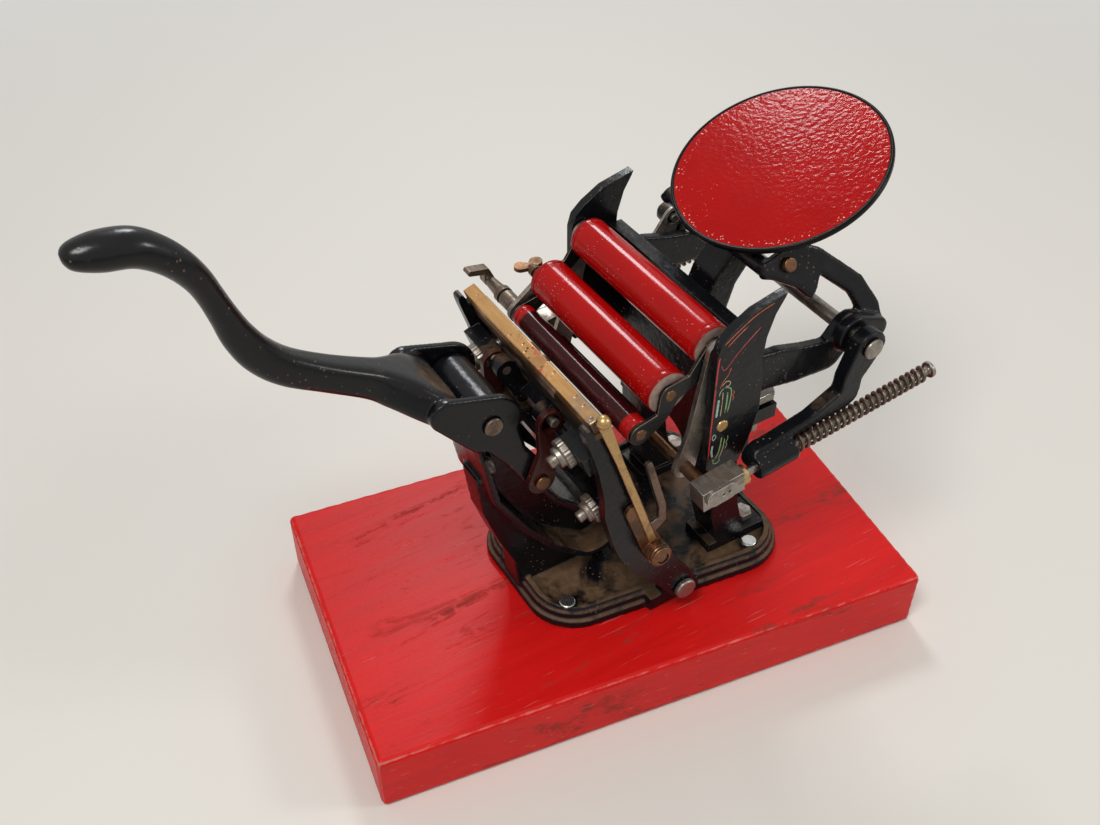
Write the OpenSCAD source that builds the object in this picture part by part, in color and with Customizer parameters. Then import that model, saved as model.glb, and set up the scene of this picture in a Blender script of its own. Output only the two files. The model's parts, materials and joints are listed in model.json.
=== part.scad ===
/* [Board] */
// Length of the wooden board
board_l = 320; // [280:1:360]
// Width of the wooden board
board_w = 184; // [176:1:200]
// Thickness of the wooden board
board_t = 38; // [30:1:45]
// Turn of the board under the press, in degrees
board_turn = 8.7; // [6:0.1:10]
// Rubbed edge of the board
board_edge = 3.5; // [2:0.5:5]

/* [Base] */
// Front end of the iron base, measured from the board's middle
base_front = 58; // [56:1:62]
// Back end of the iron base, measured from the board's middle
base_back = 96; // [92:1:100]
// Half width of the base at its front corners
base_half_front = 49; // [46:1:52]
// Half width of the base at its back corners
base_half_back = 62; // [59:1:64]
// Radius of the base's corners
base_corner = 29; // [24:1:32]
// Thickness of the base plate
plate_t = 9; // [7:0.5:11]
// Height of the raised bead that runs round the base
bead_h = 12; // [11:0.5:13]
// Radius of the four screws that hold the base down
base_screw_r = 2.6; // [2:0.1:3.2]

/* [Lever] */
// Height of the lever's bearing over the board
lever_z = 149; // [144:1:154]
// Distance of the lever's bearing in front of the middle
lever_x = 78; // [74:1:82]
// Radius of the lever's shaft
lever_shaft_r = 3.75; // [3:0.25:4.5]
// Near face of the column, from the middle plane
column_near = 20; // [18:0.5:20.5]
// Thickness of the column's web
column_web = 8; // [6:0.5:9]
// Thickness of the lever's two lobes
lobe_t = 4; // [3:0.25:4.5]
// Half width of the lever's bar where it widens to the lobes
bar_half = 9; // [8:0.25:10]

/* [Platen] */
// Height of the rocker's shaft over the board
rocker_z = 19; // [18:0.5:21]
// Distance of the rocker's shaft behind the middle
rocker_x = 14; // [12:0.5:17]
// Radius of the rocker's shaft
rocker_shaft_r = 4.5; // [3.5:0.25:5.5]
// Backward lean of the open platen, in degrees
platen_lean = 20; // [16:0.5:22]
// Height of the platen's face
platen_h = 86; // [80:1:88]
// Half width of the platen's face
platen_half = 56; // [50:1:56]
// Thickness of the platen plate
platen_t = 7; // [5:0.5:8]
// Thickness of the rocker's cheeks
cheek_t = 6; // [5:0.5:6.5]
// Inner face of the rocker's cheeks, from the middle plane
cheek_in = 57; // [56.5:0.5:58]
// Radius of the impression screws
impression_r = 3; // [2.5:0.25:3.5]

/* [Bed] */
// Distance of the bed's face behind the middle
bed_x = 41; // [40:0.5:43]
// Thickness of the bed
bed_t = 8; // [7:0.5:9]
// Height of the bed's top edge over the board
bed_top = 173; // [168:1:176]
// Height of the bed's lower edge over the board
bed_low = 100; // [96:1:104]
// Inner face of the horned rails, from the middle plane
rail_in = 60.5; // [60:0.25:61.5]
// Thickness of the rails
rail_t = 5; // [4:0.25:5.5]

/* [Rollers] */
// Radius of the two form rollers
roller_r = 11; // [9:0.25:11.4]
// Radius of the slim rider roller
rider_r = 6.5; // [5:0.25:7]
// Half length of the rollers
roller_half = 54; // [48:0.5:54.2]
// Radius of the roller shafts
roller_shaft_r = 3; // [2.5:0.25:3.5]
// Radius of the shaft across the front of the roller hooks
cross_r = 3.5; // [2.5:0.25:3.75]

/* [Arms] */
// Height of the roller arms' shaft over the board
arm_z = 155; // [153:0.5:157]
// Distance of the roller arms' shaft behind the middle
arm_x = 106; // [104:0.5:108]
// Radius of the roller arms' shaft
arm_shaft_r = 4; // [3:0.25:5]
// Thickness of the roller arms
arm_t = 8; // [7:0.5:8.5]
// Inner face of the roller arms, from the middle plane
arm_in = 69; // [68:0.5:70]
// Plane of the sprung hook rods, from the middle plane
rod_y = 78; // [77.5:0.25:79]
// Radius of the sprung hook rods
hook_rod_r = 2.2; // [1.75:0.05:2.4]
// Radius of the wire of the springs
wire_r = 0.75; // [0.6:0.05:0.85]
// Turns of each spring
spring_turns = 22; // [18:1:24]

/* [Ink disc] */
// Radius of the ink disc
disc_r = 55.5; // [52:0.5:56]
// Thickness of the ink disc at its rim
disc_t = 4; // [3:0.25:5]
// Tilt of the ink disc, in degrees
disc_tilt = 23; // [20:0.5:25]
// Radius of the stud that the ink disc turns on
disc_stud_r = 4; // [3:0.25:5]

/* [Fits] */
// Radial clearance of a shaft in its bearing
run = 0.05; // [0.03:0.01:0.09]
// Clearance between pieces that pass each other
pass = 0.6; // [0.5:0.05:0.8]

/* [Hidden] */
$fn = 48;

// Colours, as near to the photograph as one colour can be
japan_black = [0.06, 0.06, 0.07];
worn_red = [0.72, 0.10, 0.09];
ink_red = [0.74, 0.03, 0.03];
old_steel = [0.52, 0.48, 0.43];
bright_steel = [0.75, 0.74, 0.72];
old_brass = [0.74, 0.53, 0.24];
copper_brown = [0.50, 0.27, 0.18];
dark_maroon = [0.20, 0.02, 0.03];

// Places of the shafts, in the plane across the press, with heights over the board
lever_p = [-lever_x, lever_z];
rocker_p = [rocker_x, rocker_z];
arm_p = [arm_x, arm_z];
upper_p = [24, 174];
lower_p = [0, 156];
rider_p = [-16, 138.5];
cross_p = [10, 107.5];
rod_from = [11, 104];
toggle_low_p = [-54, 104];
disc_p = [100, 220.8];

// Planes along the shafts, measured from the middle plane
lobe_in = column_near + pass;
lobe_out = lobe_in + lobe_t;
cheek_out = cheek_in + cheek_t;
lug_t = 7;
lug_out = cheek_in - pass;
rail_out = rail_in + rail_t;
arm_out = arm_in + arm_t;
hook_t = 1.8;
hook_in = roller_half + 0.5;
hook_out = hook_in + hook_t;
saddle_in = hook_out + pass;
saddle_t = 2.8;
bracket_out = rail_out + 0.5;
rod_plane = bracket_out + pass;
drive_t = 1.8;

// Straight sides run a hair inside the round corners that they join
side_in = 0.999;

// Draws a flat link of round-ended stretches through [x, z, radius] points
module limb(path)
    for (i = [0 : len(path) - 2]) {
        a = path[i];
        b = path[i + 1];
        d = [b[0] - a[0], b[1] - a[1]];
        l = norm(d);
        u = d / l;
        s = (a[2] - b[2]) / l;
        c = sqrt(1 - s * s);
        n1 = side_in * [u[0] * s - u[1] * c, u[1] * s + u[0] * c];
        n2 = side_in * [u[0] * s + u[1] * c, u[1] * s - u[0] * c];
        pa = [a[0], a[1]];
        pb = [b[0], b[1]];
        translate(pa) circle(r = a[2]);
        translate(pb) circle(r = b[2]);
        polygon([pa + n1 * a[2], pa + n2 * a[2], pb + n2 * b[2], pb + n1 * b[2]]);
    }

// Stands a drawing in the plane across the press, between two places along the shafts
module across(y0, y1)
    translate([0, y1, board_t]) rotate([90, 0, 0]) linear_extrude(y1 - y0) children();

// Lays a round bar along the shafts
module bar_y(p, r, y0, y1)
    translate([p[0], y0, p[1] + board_t]) rotate([-90, 0, 0]) cylinder(r = r, h = y1 - y0);

// Repeats what it is given on the other side of the middle plane
module both_sides() {
    children();
    mirror([0, 1, 0]) children();
}

// Turns a drawing made upright at the rocker's shaft to the open platen's lean
module leaning()
    translate([rocker_x, 0, rocker_z + board_t]) rotate([0, -platen_lean, 0]) children();
function lean(o, h) = [
    rocker_x + o * cos(platen_lean) - h * sin(platen_lean),
    rocker_z + h * cos(platen_lean) + o * sin(platen_lean)
];

// Base outline: a trapezoid with round corners, drawn in by inset
base_corners = let (q = base_corner) [
    [-base_front + q, base_half_front - q], [base_back - q, base_half_back - q],
    [base_back - q, q - base_half_back], [-base_front + q, q - base_half_front]
];
module base_outline(inset) {
    c = base_corners;
    r = base_corner - inset;
    polygon(c);
    for (i = [0 : 3]) {
        a = c[i];
        b = c[(i + 1) % 4];
        u = (b - a) / norm(b - a);
        n = side_in * [-u[1], u[0]];
        translate(a) circle(r = r);
        polygon([a, b, b + n * r, a + n * r]);
    }
}

base_screw_places = [
    [16 - base_front, 14.5 - base_half_front], [base_back - 26, 12 - base_half_back],
    [16 - base_front, base_half_front - 14.5], [base_back - 26, base_half_back - 12]
];
base_screw_len = 22;
base_head_r = 4.6;
base_head_h = 3;

module base_board() color(worn_red)
    difference() {
        rotate([0, 0, -board_turn]) {
            translate([0, 0, board_edge / 2]) cube_middle(board_l, board_w, board_t - board_edge);
            cube_middle(board_l - 2 * board_edge, board_w - 2 * board_edge, board_t);
        }
        for (p = base_screw_places) translate([p[0], p[1], board_t - base_screw_len])
            cylinder(r = base_screw_r, h = base_screw_len + 1);
    }
module cube_middle(l, w, h) translate([-l / 2, -w / 2, 0]) cube([l, w, h]);

// The column: two flanges and a web, from the base's front up to the lever's eye, on a gusset foot
column_line = [
    [-lever_x, lever_z, 12], [-74, 132, 10], [-72, 118, 9], [-64.5, 94.5, 12],
    [-48.5, 68.5, 13], [-33, 50.5, 14.5], [-14, 38, 18]
];
flange_t = 4;
column_core = [for (q = column_line) [q[0], q[1], q[2] - flange_t]];
column_foot = [
    [-80, 100], [-76, 72], [-68, 48], [-59, 27], [-56, 1], [4, 1], [-5, 18], [-38, 40], [-56, 60], [-72, 90]
];
foot_half = 8;
eye_r = 10;
ring_p = [-79.5, 123.5];
ring_r = 1.5;
module over_board()
    intersection() {
        children();
        translate([-board_l, 1]) square([board_l + 4, board_l]);
    }
module base_casting() color(japan_black)
    difference() {
        union() {
            translate([0, 0, board_t]) {
                linear_extrude(bead_h - 7) base_outline(0);
                linear_extrude(plate_t) base_outline(2.5);
                linear_extrude(bead_h) difference() {
                    base_outline(4.5);
                    base_outline(8);
                }
            }
            across(-column_near, column_near) over_board() difference() {
                limb(column_line);
                limb(column_core);
            }
            across(-column_web / 2, column_web / 2) over_board() limb(column_line);
            across(-foot_half, foot_half) polygon(column_foot);
            bar_y(lever_p, eye_r, -column_near, column_near);
            bar_y(ring_p, ring_r + 1.8, -column_near, -column_near + 10);
            both_sides() {
                across(lug_out - lug_t, lug_out) {
                    limb([[rocker_x, rocker_z, lug_r], [rocker_x, lug_r + 1, lug_r]]);
                    translate([rocker_x - 16, 1]) square([32, plate_t]);
                }
            }
        }
        bar_y(lever_p, lever_shaft_r, -cheek_in, cheek_in);
        bar_y(rocker_p, rocker_shaft_r, -cheek_in, cheek_in);
        bar_y(ring_p, ring_r, -column_near - 1, -column_near + 8);
        for (p = base_screw_places) translate([p[0], p[1], board_t - 1]) {
            cylinder(r = base_screw_r, h = bead_h + 2);
            translate([0, 0, plate_t + 1]) cylinder(r = base_head_r + run, h = bead_h);
        }
        for (p = bed_bolt_places)
            translate([p[0], p[1], board_t - 1]) cylinder(r = bed_bolt_r, h = bead_h + 2);
    }
// A small ring stands on the column, under the lever
module column_ring() color(japan_black) {
    bar_y(ring_p, ring_r - run, -column_near - 2, -column_near + 7);
    translate([ring_p[0], -column_near - 2, ring_p[1] + board_t]) rotate([0, 90, 0])
        translate([0, -2.6, 0]) rotate_extrude() translate([2.6, 0]) circle(r = 1, $fn = 24);
}

module base_screws() color(bright_steel)
    for (p = base_screw_places) translate([p[0], p[1], board_t]) {
        translate([0, 0, plate_t]) cylinder(r = base_head_r, h = base_head_h);
        translate([0, 0, 1 - base_screw_len])
            cylinder(r = base_screw_r - run, h = base_screw_len - 1 + plate_t);
    }

// Shafts with a head at each end
module headed_shaft(p, r, half, head_r, head_h) {
    bar_y(p, r, -half, half);
    both_sides() bar_y(p, head_r, half, half + head_h);
}
module rocker_shaft() color(old_steel)
    headed_shaft(rocker_p, rocker_shaft_r - run, cheek_out + 0.3, 6.2, 3.2);
module lever_shaft() color(old_steel)
    headed_shaft(lever_p, lever_shaft_r - run, lobe_out + 0.2, lever_shaft_r + 1.2, 1.8);
module arm_shaft() color(old_steel)
    headed_shaft(arm_p, arm_shaft_r - run, arm_out + 0.3, 5.6, 2);

// The bed stands on two legs with an arch between them
bed_back = bed_x + bed_t;
leg_out = base_half_back - 18;
leg_in = leg_out - 20;
foot_t = 6;
lug_r = 8.5;
bed_bolt_r = 3;
foot_to = base_back - 11;
bed_bolt_y = (leg_in + leg_out) / 2;
bed_bolt_places = [[foot_to - 8.5, bed_bolt_y], [foot_to - 8.5, -bed_bolt_y]];
module bed_casting() color(japan_black)
    difference() {
        union() {
            across(-rail_in, rail_in) translate([bed_x, bed_low]) square([bed_t, bed_top - bed_low]);
            across(-leg_out, leg_out) translate([bed_x + 1, 72]) square([6, bed_low - 71]);
            both_sides() {
                across(leg_in, leg_out) limb([[bed_x + 8, 94, 7], [54, 40, 9], [60, plate_t + 9, 9]]);
                across(leg_in - 2, leg_out) translate([46, plate_t]) square([foot_to - 46, foot_t]);
                across(leg_in, leg_in + 5)
                    polygon([[bed_back - 1, 150], [bed_back + 16, 96], [bed_back - 1, 80]]);
            }
            across(clamp_y - 8, clamp_y + 8) translate([bed_back - 1, clamp_p[1] - 9])
                square([clamp_p[0] + 9 - bed_back, 9]);
        }
        translate([bed_x - 5, 0, board_t + 60]) rotate([0, 90, 0]) cylinder(r = leg_in, h = 20);
        for (p = bed_bolt_places) translate([p[0], p[1], board_t]) cylinder(r = bed_bolt_r, h = 40);
        translate([clamp_p[0], clamp_y, board_t + clamp_p[1] - 30]) cylinder(r = clamp_r, h = 30);
    }

module bed_bolts() color(old_steel) for (p = bed_bolt_places) translate([p[0], p[1], board_t + 1]) {
    cylinder(r = bed_bolt_r - run, h = plate_t + foot_t);
    translate([0, 0, plate_t + foot_t - 1]) cylinder(r = 2 * bed_bolt_r, h = 4, $fn = 6);
}

// The horned rail, drawn from its foot up the front edge, over the horn and down its back
rail_line = [
    [21, 103], [18.5, 106], [18, 177], [20, 184], [26, 189.5], [37, 196], [55.5, 200.5], [54.5, 198],
    [50, 190], [46.5, 178], [45.5, 164], [47.5, 150], [48, 134], [45, 120], [39, 103]
];
rail_screw_p = [25.6, 132.2];
rail_screw_r = 2;
module side_rails() color(japan_black) both_sides()
    across(rail_in, rail_out) difference() {
        polygon(rail_line);
        translate(rail_screw_p) circle(r = rail_screw_r);
    }
module rail_screws() color(old_brass) both_sides() {
    bar_y(rail_screw_p, rail_screw_r - run, rail_in + 0.5, rail_out);
    bar_y(rail_screw_p, 3.4, rail_out, rod_plane - 0.35);
}

// Brackets behind the bed: a beam back to the arm shaft, and a band that leans in to the yoke
beam_in = 54;
band_in = rail_in - 0.5;
band_lean = 27.5;
band_foot = 150;
yoke_pin_r = 2.5;
yoke_pin = [75, 48];
yoke_plate = [[60, 45], [62, 52], [80, 57], [93, 50], [97, 44], [90, 31], [86, 27], [79, 35], [66, 43]];
yoke_bar = [66, band_foot + 48 * cos(band_lean)];
yoke_reach = band_in - 47 * sin(band_lean);
module on_band()
    translate([0, 0, board_t + band_foot]) translate([0, band_in, 0]) rotate([band_lean, 0, 0])
        translate([0, 5, 0]) rotate([90, 0, 0]) children();
module side_brackets() color(japan_black) both_sides()
    difference() {
        union() {
            across(beam_in, rail_in - 0.1) {
                limb([[bed_back + 11.5, 148.5, 11.4], [76, 145, 10.5], [96, 142.5, 9], [arm_x, arm_z, 9.5]]);
                translate([bed_back, 0])
                    polygon([[0, 138], [0, 161.5], [12, 159.6], [12, 137.5]]);
            }
            across(band_in, bracket_out)
                limb([[arm_x, arm_z, 10.5], [arm_x + 14, band_foot + 3, 7]]);
            on_band() linear_extrude(5) {
                limb([
                    [arm_x + 14, 2, 6.5], [arm_x + 14, 12, 6], [arm_x + 8, 26, 5.5],
                    [93, 46, 5.5], [84, 51, 5], [yoke_pin[0], yoke_pin[1], 6]
                ]);
                polygon(yoke_plate);
            }
            bar_y(yoke_bar, 4.5, -1, yoke_reach);
        }
        bar_y(arm_p, arm_shaft_r, beam_in - 10, bracket_out + 10);
        on_band() translate([yoke_pin[0], yoke_pin[1], -5]) cylinder(r = yoke_pin_r, h = 20);
    }
module yoke_pins() color(old_brass) both_sides() on_band() translate([yoke_pin[0], yoke_pin[1], -2.9]) {
    cylinder(r = 3.6, h = 2.9);
    translate([0, 0, 2.8]) cylinder(r = yoke_pin_r - run, h = 5);
}

// The flat-headed screw behind the bed, in its hooked lug
clamp_p = [63, 118];
clamp_y = -46;
clamp_r = 3;
module bed_clamp_screw() color(old_steel) {
    translate([clamp_p[0], clamp_y, board_t + clamp_p[1] - 20]) cylinder(r = clamp_r - run, h = 20);
    translate([clamp_p[0], clamp_y, board_t + clamp_p[1]]) {
        cylinder(r = 4.5, h = 1.5);
        translate([0, 0, 1.5]) linear_extrude(5) intersection() {
            circle(r = 9.5);
            square([20, 13], center = true);
        }
    }
}

// The ink disc turns on a stud that stands square to it
module on_disc() translate([disc_p[0], 0, disc_p[1] + board_t]) rotate([0, -disc_tilt, 0]) children();
disc_hub_h = 9;
ratchet_r = 17;
ratchet_t = 3;
module ink_disc() color(ink_red) on_disc() difference() {
    union() {
        translate([0, 0, -disc_t]) cylinder(r = disc_r, h = disc_t - 1.2, $fn = 96);
        translate([0, 0, -1.2]) cylinder(r = disc_r - 1.2, h = 1.2, $fn = 96);
        translate([0, 0, -disc_t - disc_hub_h]) cylinder(r = 9, h = disc_hub_h + 1);
    }
    translate([0, 0, -disc_t - disc_hub_h - 1]) cylinder(r = disc_stud_r, h = disc_hub_h + 3);
}
ratchet_teeth = 24;
module disc_ratchet() color(old_steel)
    on_disc() translate([0, 0, -disc_t - ratchet_t]) linear_extrude(ratchet_t) difference() {
        polygon([for (i = [0 : 2 * ratchet_teeth - 1])
            let (a = 180 * i / ratchet_teeth, r = i % 2 == 0 ? ratchet_r : ratchet_r - 2)
            [r * cos(a), r * sin(a)]]);
        circle(r = 9);
    }
module disc_stud() color(old_steel) on_disc()
    translate([0, 0, -disc_t - disc_hub_h - 12]) cylinder(r = disc_stud_r - run, h = disc_hub_h + 12.8);
module disc_bracket() color(japan_black) difference() {
    union() {
        across(-9, 9) {
            limb([[bed_back + 9.5, 145, 9.3], [66, 168, 8.5], [84, 192, 8], [104, 198.5, 8.2]]);
            translate([bed_back, 136.5]) square([10, 17]);
        }
        on_disc() translate([0, 0, -disc_t - disc_hub_h - 12.3]) cylinder(r = 10, h = 12);
    }
    on_disc() translate([0, 0, -disc_t - disc_hub_h - 13]) cylinder(r = disc_stud_r, h = 20);
}

// The lever's bar follows round-number points: place, half height, half width and squareness
lever_path = [
    [-235.5, 283.5, 2, 2, 1], [-233.5, 283.5, 4.5, 5, 1], [-229, 283, 6.4, 7, 1],
    [-221.5, 282, 7.8, 8.4, 1], [-211, 280, 7.8, 8.4, 1], [-202.5, 274.5, 7.2, 7.6, 1],
    [-195.5, 267, 6.6, 7, 1], [-190, 258, 6, 6.2, 1], [-186.5, 249, 5.7, 5.8, 1],
    [-183, 238, 6.1, 6, 1], [-179, 226, 7.2, 6.4, 0.9], [-172.5, 214, 8, 6.8, 0.8],
    [-162, 203, 8, 7.2, 0.7], [-145, 192, 7.4, 7.8, 0.6], [-127, 181.5, 7.8, 9, 0.55],
    [-118, 175.5, 8.6, 12.5, 0.5], [-109, 169.5, 9, 18, 0.42], [-101, 163.5, 8.6, 22, 0.36],
    [-96, 160, 8.2, 23, 0.34]
];
bar_sides = 16;
bar_steps = 3;
function blend(p, i, t) = let (
    n = len(p), a = p[max(i - 1, 0)], b = p[i], c = p[min(i + 1, n - 1)], d = p[min(i + 2, n - 1)])
    0.5 * (2 * b + (c - a) * t + (2 * a - 5 * b + 4 * c - d) * t * t + (3 * b - a - 3 * c + d) * t * t * t);
function smooth(p, steps) = [
    for (i = [0 : len(p) - 2]) for (k = [0 : steps - 1]) blend(p, i, k / steps), p[len(p) - 1]
];
function turn_at(q, i) = let (d = q[min(i + 1, len(q) - 1)] - q[max(i - 1, 0)]) atan2(d[1], d[0]);
function squared(v, e) = sign(v) * pow(abs(v), e);
function bar_ring(q, i) = let (a = turn_at(q, i), s = q[i])
    [for (k = [0 : bar_sides - 1])
        let (w = 360 * k / bar_sides, u = squared(cos(w), s[4]) * s[2], v = squared(sin(w), s[4]) * s[3])
        [s[0] - sin(a) * u, v * bar_half / 9, s[1] + cos(a) * u + board_t]];
module swept_bar(path) {
    q = smooth(path, bar_steps);
    n = len(q);
    pts = [for (i = [0 : n - 1]) each bar_ring(q, i)];
    sides = [for (i = [0 : n - 2]) for (k = [0 : bar_sides - 1])
        let (a = i * bar_sides + k, b = i * bar_sides + (k + 1) % bar_sides)
        each [[a, b + bar_sides, a + bar_sides], [a, b, b + bar_sides]]];
    first = [for (k = [1 : bar_sides - 2]) [0, k + 1, k]];
    last = let (z = (n - 1) * bar_sides) [for (k = [1 : bar_sides - 2]) [z, z + k, z + k + 1]];
    polyhedron(pts, concat(first, sides, last));
}
lobe_r = 16;
lobe_root = [-100.5, 164, 8.2];
toggle_pin_r = 3;
module lever() color(japan_black) difference() {
    union() {
        swept_bar(lever_path);
        both_sides() across(lobe_in, lobe_out) {
            limb([lobe_root, [-lever_x, lever_z, lobe_r]]);
            limb([[-lever_x, lever_z, 12], [-66, 124, 6.5], [toggle_low_p[0], toggle_low_p[1], 7]]);
        }
    }
    bar_y(lever_p, lever_shaft_r + run, -cheek_in, cheek_in);
    bar_y(toggle_low_p, toggle_pin_r, -cheek_in, cheek_in);
}
module lever_pins() color(old_brass) both_sides() {
    bar_y(toggle_low_p, toggle_pin_r - run, lobe_in, link_out + 0.2);
    bar_y(toggle_low_p, toggle_pin_r + 1, link_out + 0.2, link_out + 1.8);
}

// Toggle links press the platen; their upper eyes are open, as wide as the pin strays in them
toggle_high = [-16, 134];
toggle_high_p = lean(toggle_high[0], toggle_high[1]);
link_in = lobe_out + pass;
link_t = 3.6;
link_out = link_in + link_t;
link_pin_r = 2.5;
toggle_stray = [-2.2, 0.5];
toggle_slack = 2.6;
link_eye_p = toggle_high_p + toggle_stray;
module toggle_links() color(japan_black) both_sides() difference() {
    across(link_in, link_out)
        limb([
            [toggle_low_p[0], toggle_low_p[1], 7.5], [-50.5, 121, 4.5],
            [link_eye_p[0], link_eye_p[1], link_pin_r + toggle_slack + 1.7]
        ]);
    bar_y(toggle_low_p, toggle_pin_r + run, 0, cheek_in);
    bar_y(link_eye_p, link_pin_r + toggle_slack, 0, cheek_in);
}
module link_pins() color(old_steel) both_sides()
    bar_y(toggle_high_p, link_pin_r - run, link_lug_in, link_out + 0.6);

// Rocker: two cheeks with bars across, leaning with the platen
platen_foot = 62;
cheek_line = [
    [0, -lug_r], [6, -6.5], [lug_r, 0], [7.5, 8], [4, 20], [1, 40], [-3, 60], [-5, 72], [-5.5, 104],
    [-5, 140], [-5.5, 146.5], [-9.5, 147.5], [-10, 150], [-10.5, 155.5], [-13.5, 155.5], [-14.3, 150],
    [-14.5, 143], [-15, 130], [-16.5, 119], [-19, 104], [-22, 95], [-23.5, 82], [-24.7, 62], [-22.7, 47],
    [-20, 37], [-13.5, 19], [-10.5, 9], [-8.5, 0], [-6, -6]
];
function loop_at(p, i, t) = let (
    n = len(p), a = p[(i + n - 1) % n], b = p[i], c = p[(i + 1) % n], d = p[(i + 2) % n])
    0.5 * (2 * b + (c - a) * t + (2 * a - 5 * b + 4 * c - d) * t * t + (3 * b - a - 3 * c + d) * t * t * t);
cheek_outline = [for (i = [0 : len(cheek_line) - 1]) for (t = [0, 0.5]) loop_at(cheek_line, i, t)];
bar_back = 19;
bar_front = 10;
bar_low = 74;
bar_low_h = 10;
tie_back = 14;
tie_low = 106;
tie_h = 11;
stub_low = 122;
stub_h = 12;
stub_in = 32;
link_lug_in = 17;
link_lug_out = lobe_out;
impression_y = 42;
impression_hs = [bar_low + bar_low_h / 2, stub_low + stub_h / 2];
impression_places = [for (y = [-impression_y, impression_y]) for (h = impression_hs) [y, h]];
module flat_on_rocker(y0, y1) translate([0, y1, 0]) rotate([90, 0, 0]) linear_extrude(y1 - y0) children();
module rocker_casting() color(japan_black) difference() {
    union() {
        leaning() both_sides() {
            flat_on_rocker(cheek_in, cheek_out) polygon(cheek_outline);
            flat_on_rocker(link_lug_in, link_lug_out)
                limb([[-13.2, tie_low + 6, 5], [-15, 124, 5], [toggle_high[0], toggle_high[1], 6]]);
            flat_on_rocker(stub_in, cheek_in + 1)
                translate([-bar_back, stub_low]) square([bar_back - bar_front, stub_h]);
        }
        leaning() flat_on_rocker(-cheek_in - 1, cheek_in + 1) {
            translate([-bar_back, bar_low]) square([bar_back - bar_front, bar_low_h]);
            translate([-tie_back, tie_low]) square([tie_back - platen_t - pass, tie_h]);
        }
    }
    bar_y(rocker_p, rocker_shaft_r + run, -arm_out, arm_out);
    leaning() translate([gripper_o, -arm_out, gripper_h]) rotate([-90, 0, 0])
        cylinder(r = gripper_r + run, h = 2 * arm_out);
    bar_y(toggle_high_p, link_pin_r, -cheek_in + 20, cheek_in - 20);
    leaning() for (q = impression_places)
        translate([-bar_back - 1, q[0], q[1]]) rotate([0, 90, 0]) cylinder(r = impression_r, h = bar_back);
    bar_y(rod_low_p, rod_pin_r, cheek_in - 1, cheek_out + 1);
}
module platen_plate() color(old_steel) leaning()
    translate([-platen_t, -platen_half, platen_foot]) cube([platen_t, 2 * platen_half, platen_h]);
nut_h = 7;
module impression_screws() color(old_steel) leaning() for (q = impression_places)
    translate([-platen_t, q[0], q[1]]) rotate([0, -90, 0])
        cylinder(r = impression_r - run, h = bar_back - platen_t + nut_h + 4);
module impression_nuts() color(old_steel) leaning() for (q = impression_places)
    translate([-bar_back, q[0], q[1]]) rotate([0, -90, 0]) difference() {
        union() {
            cylinder(r = 8, h = 4);
            cylinder(r = 5.5, h = nut_h);
        }
        translate([0, 0, -1]) cylinder(r = impression_r, h = nut_h + 2);
    }

// Brass bar along the platen's top edge and the thin strip behind it
module tympan_bar() color(old_brass) leaning()
    translate([-platen_t - 2, -60, platen_foot + platen_h]) cube([platen_t, 120, 8]);
strip_h = 9.5;
module tympan_strip() color(old_brass) leaning()
    translate([-platen_t - 2, -56, platen_foot + platen_h - strip_h]) cube([2, 112, strip_h]);

// Grippers: a shaft below the platen, with a bale outside the near cheek and two fingers
gripper_o = -7;
gripper_h = 52.5;
gripper_r = 3.2;
finger_t = 2.6;
module gripper_shaft() color(copper_brown) leaning()
    translate([gripper_o, -cheek_out - 11, gripper_h]) rotate([-90, 0, 0])
        cylinder(r = gripper_r, h = 2 * cheek_out + 12);
module gripper_arm() color(old_brass) leaning() difference() {
    union() {
        translate([gripper_o, -cheek_out - 7.6, gripper_h]) rotate([-90, 0, 0]) cylinder(r = 6.5, h = 7);
        translate([0, -cheek_out - pass, 0]) rotate([90, 0, 0]) linear_extrude(gripper_arm_t)
            limb([[gripper_o, gripper_h, 6], [gripper_o - 2, gripper_h + 36, 4]]);
    }
    translate([gripper_o, -90, gripper_h]) rotate([-90, 0, 0]) cylinder(r = gripper_r, h = 40);
}
gripper_arm_t = 2.4;
bale_y = cheek_out + pass + gripper_arm_t;
module gripper_bale() color(old_brass) leaning()
    translate([0, -bale_y, 0]) rotate([90, 0, 0]) linear_extrude(1.4)
        limb([[gripper_o + 1, gripper_h + 9, 2], [gripper_o + 2, 130, 2], [gripper_o + 2.5, 161, 3.2]]);
module gripper_fingers() color(old_steel) leaning() both_sides() difference() {
    flat_on_rocker(cheek_in - pass - finger_t, cheek_in - pass)
        limb([[gripper_o, gripper_h, 5.5], [6, 54, 2.6], [9, 64, 2.4], [11, 98, 2]]);
    translate([gripper_o, 40, gripper_h]) rotate([-90, 0, 0]) cylinder(r = gripper_r, h = 40);
}

// The rod on the far side that swings the roller arms; its upper eye is open, as wide as the pin strays
rod_low_p = lean(-10, 60);
crank_len = 16;
crank_at = 175;
rod_high_p = arm_p + crank_len * [cos(crank_at), sin(crank_at)];
rod_pin_r = 3;
crank_pin_r = 2.5;
rod_stray = [-0.96, 1];
rod_slack = 1.75;
rod_eye_p = rod_high_p + rod_stray;
rod_dir_u = (rod_eye_p - rod_low_p) / norm(rod_eye_p - rod_low_p);
rod_a = rod_low_p + 13 * rod_dir_u;
rod_b = rod_eye_p - 13 * rod_dir_u;
module rod_pin() color(old_steel) {
    bar_y(rod_low_p, rod_pin_r - run, cheek_in, rod_plane + drive_t + 0.3);
    bar_y(rod_low_p, 4.5, rod_plane + drive_t + 0.3, rod_plane + drive_t + 1.8);
    bar_y(rod_low_p, 4.5, cheek_out + 0.2, rod_plane - 0.3);
}
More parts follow.
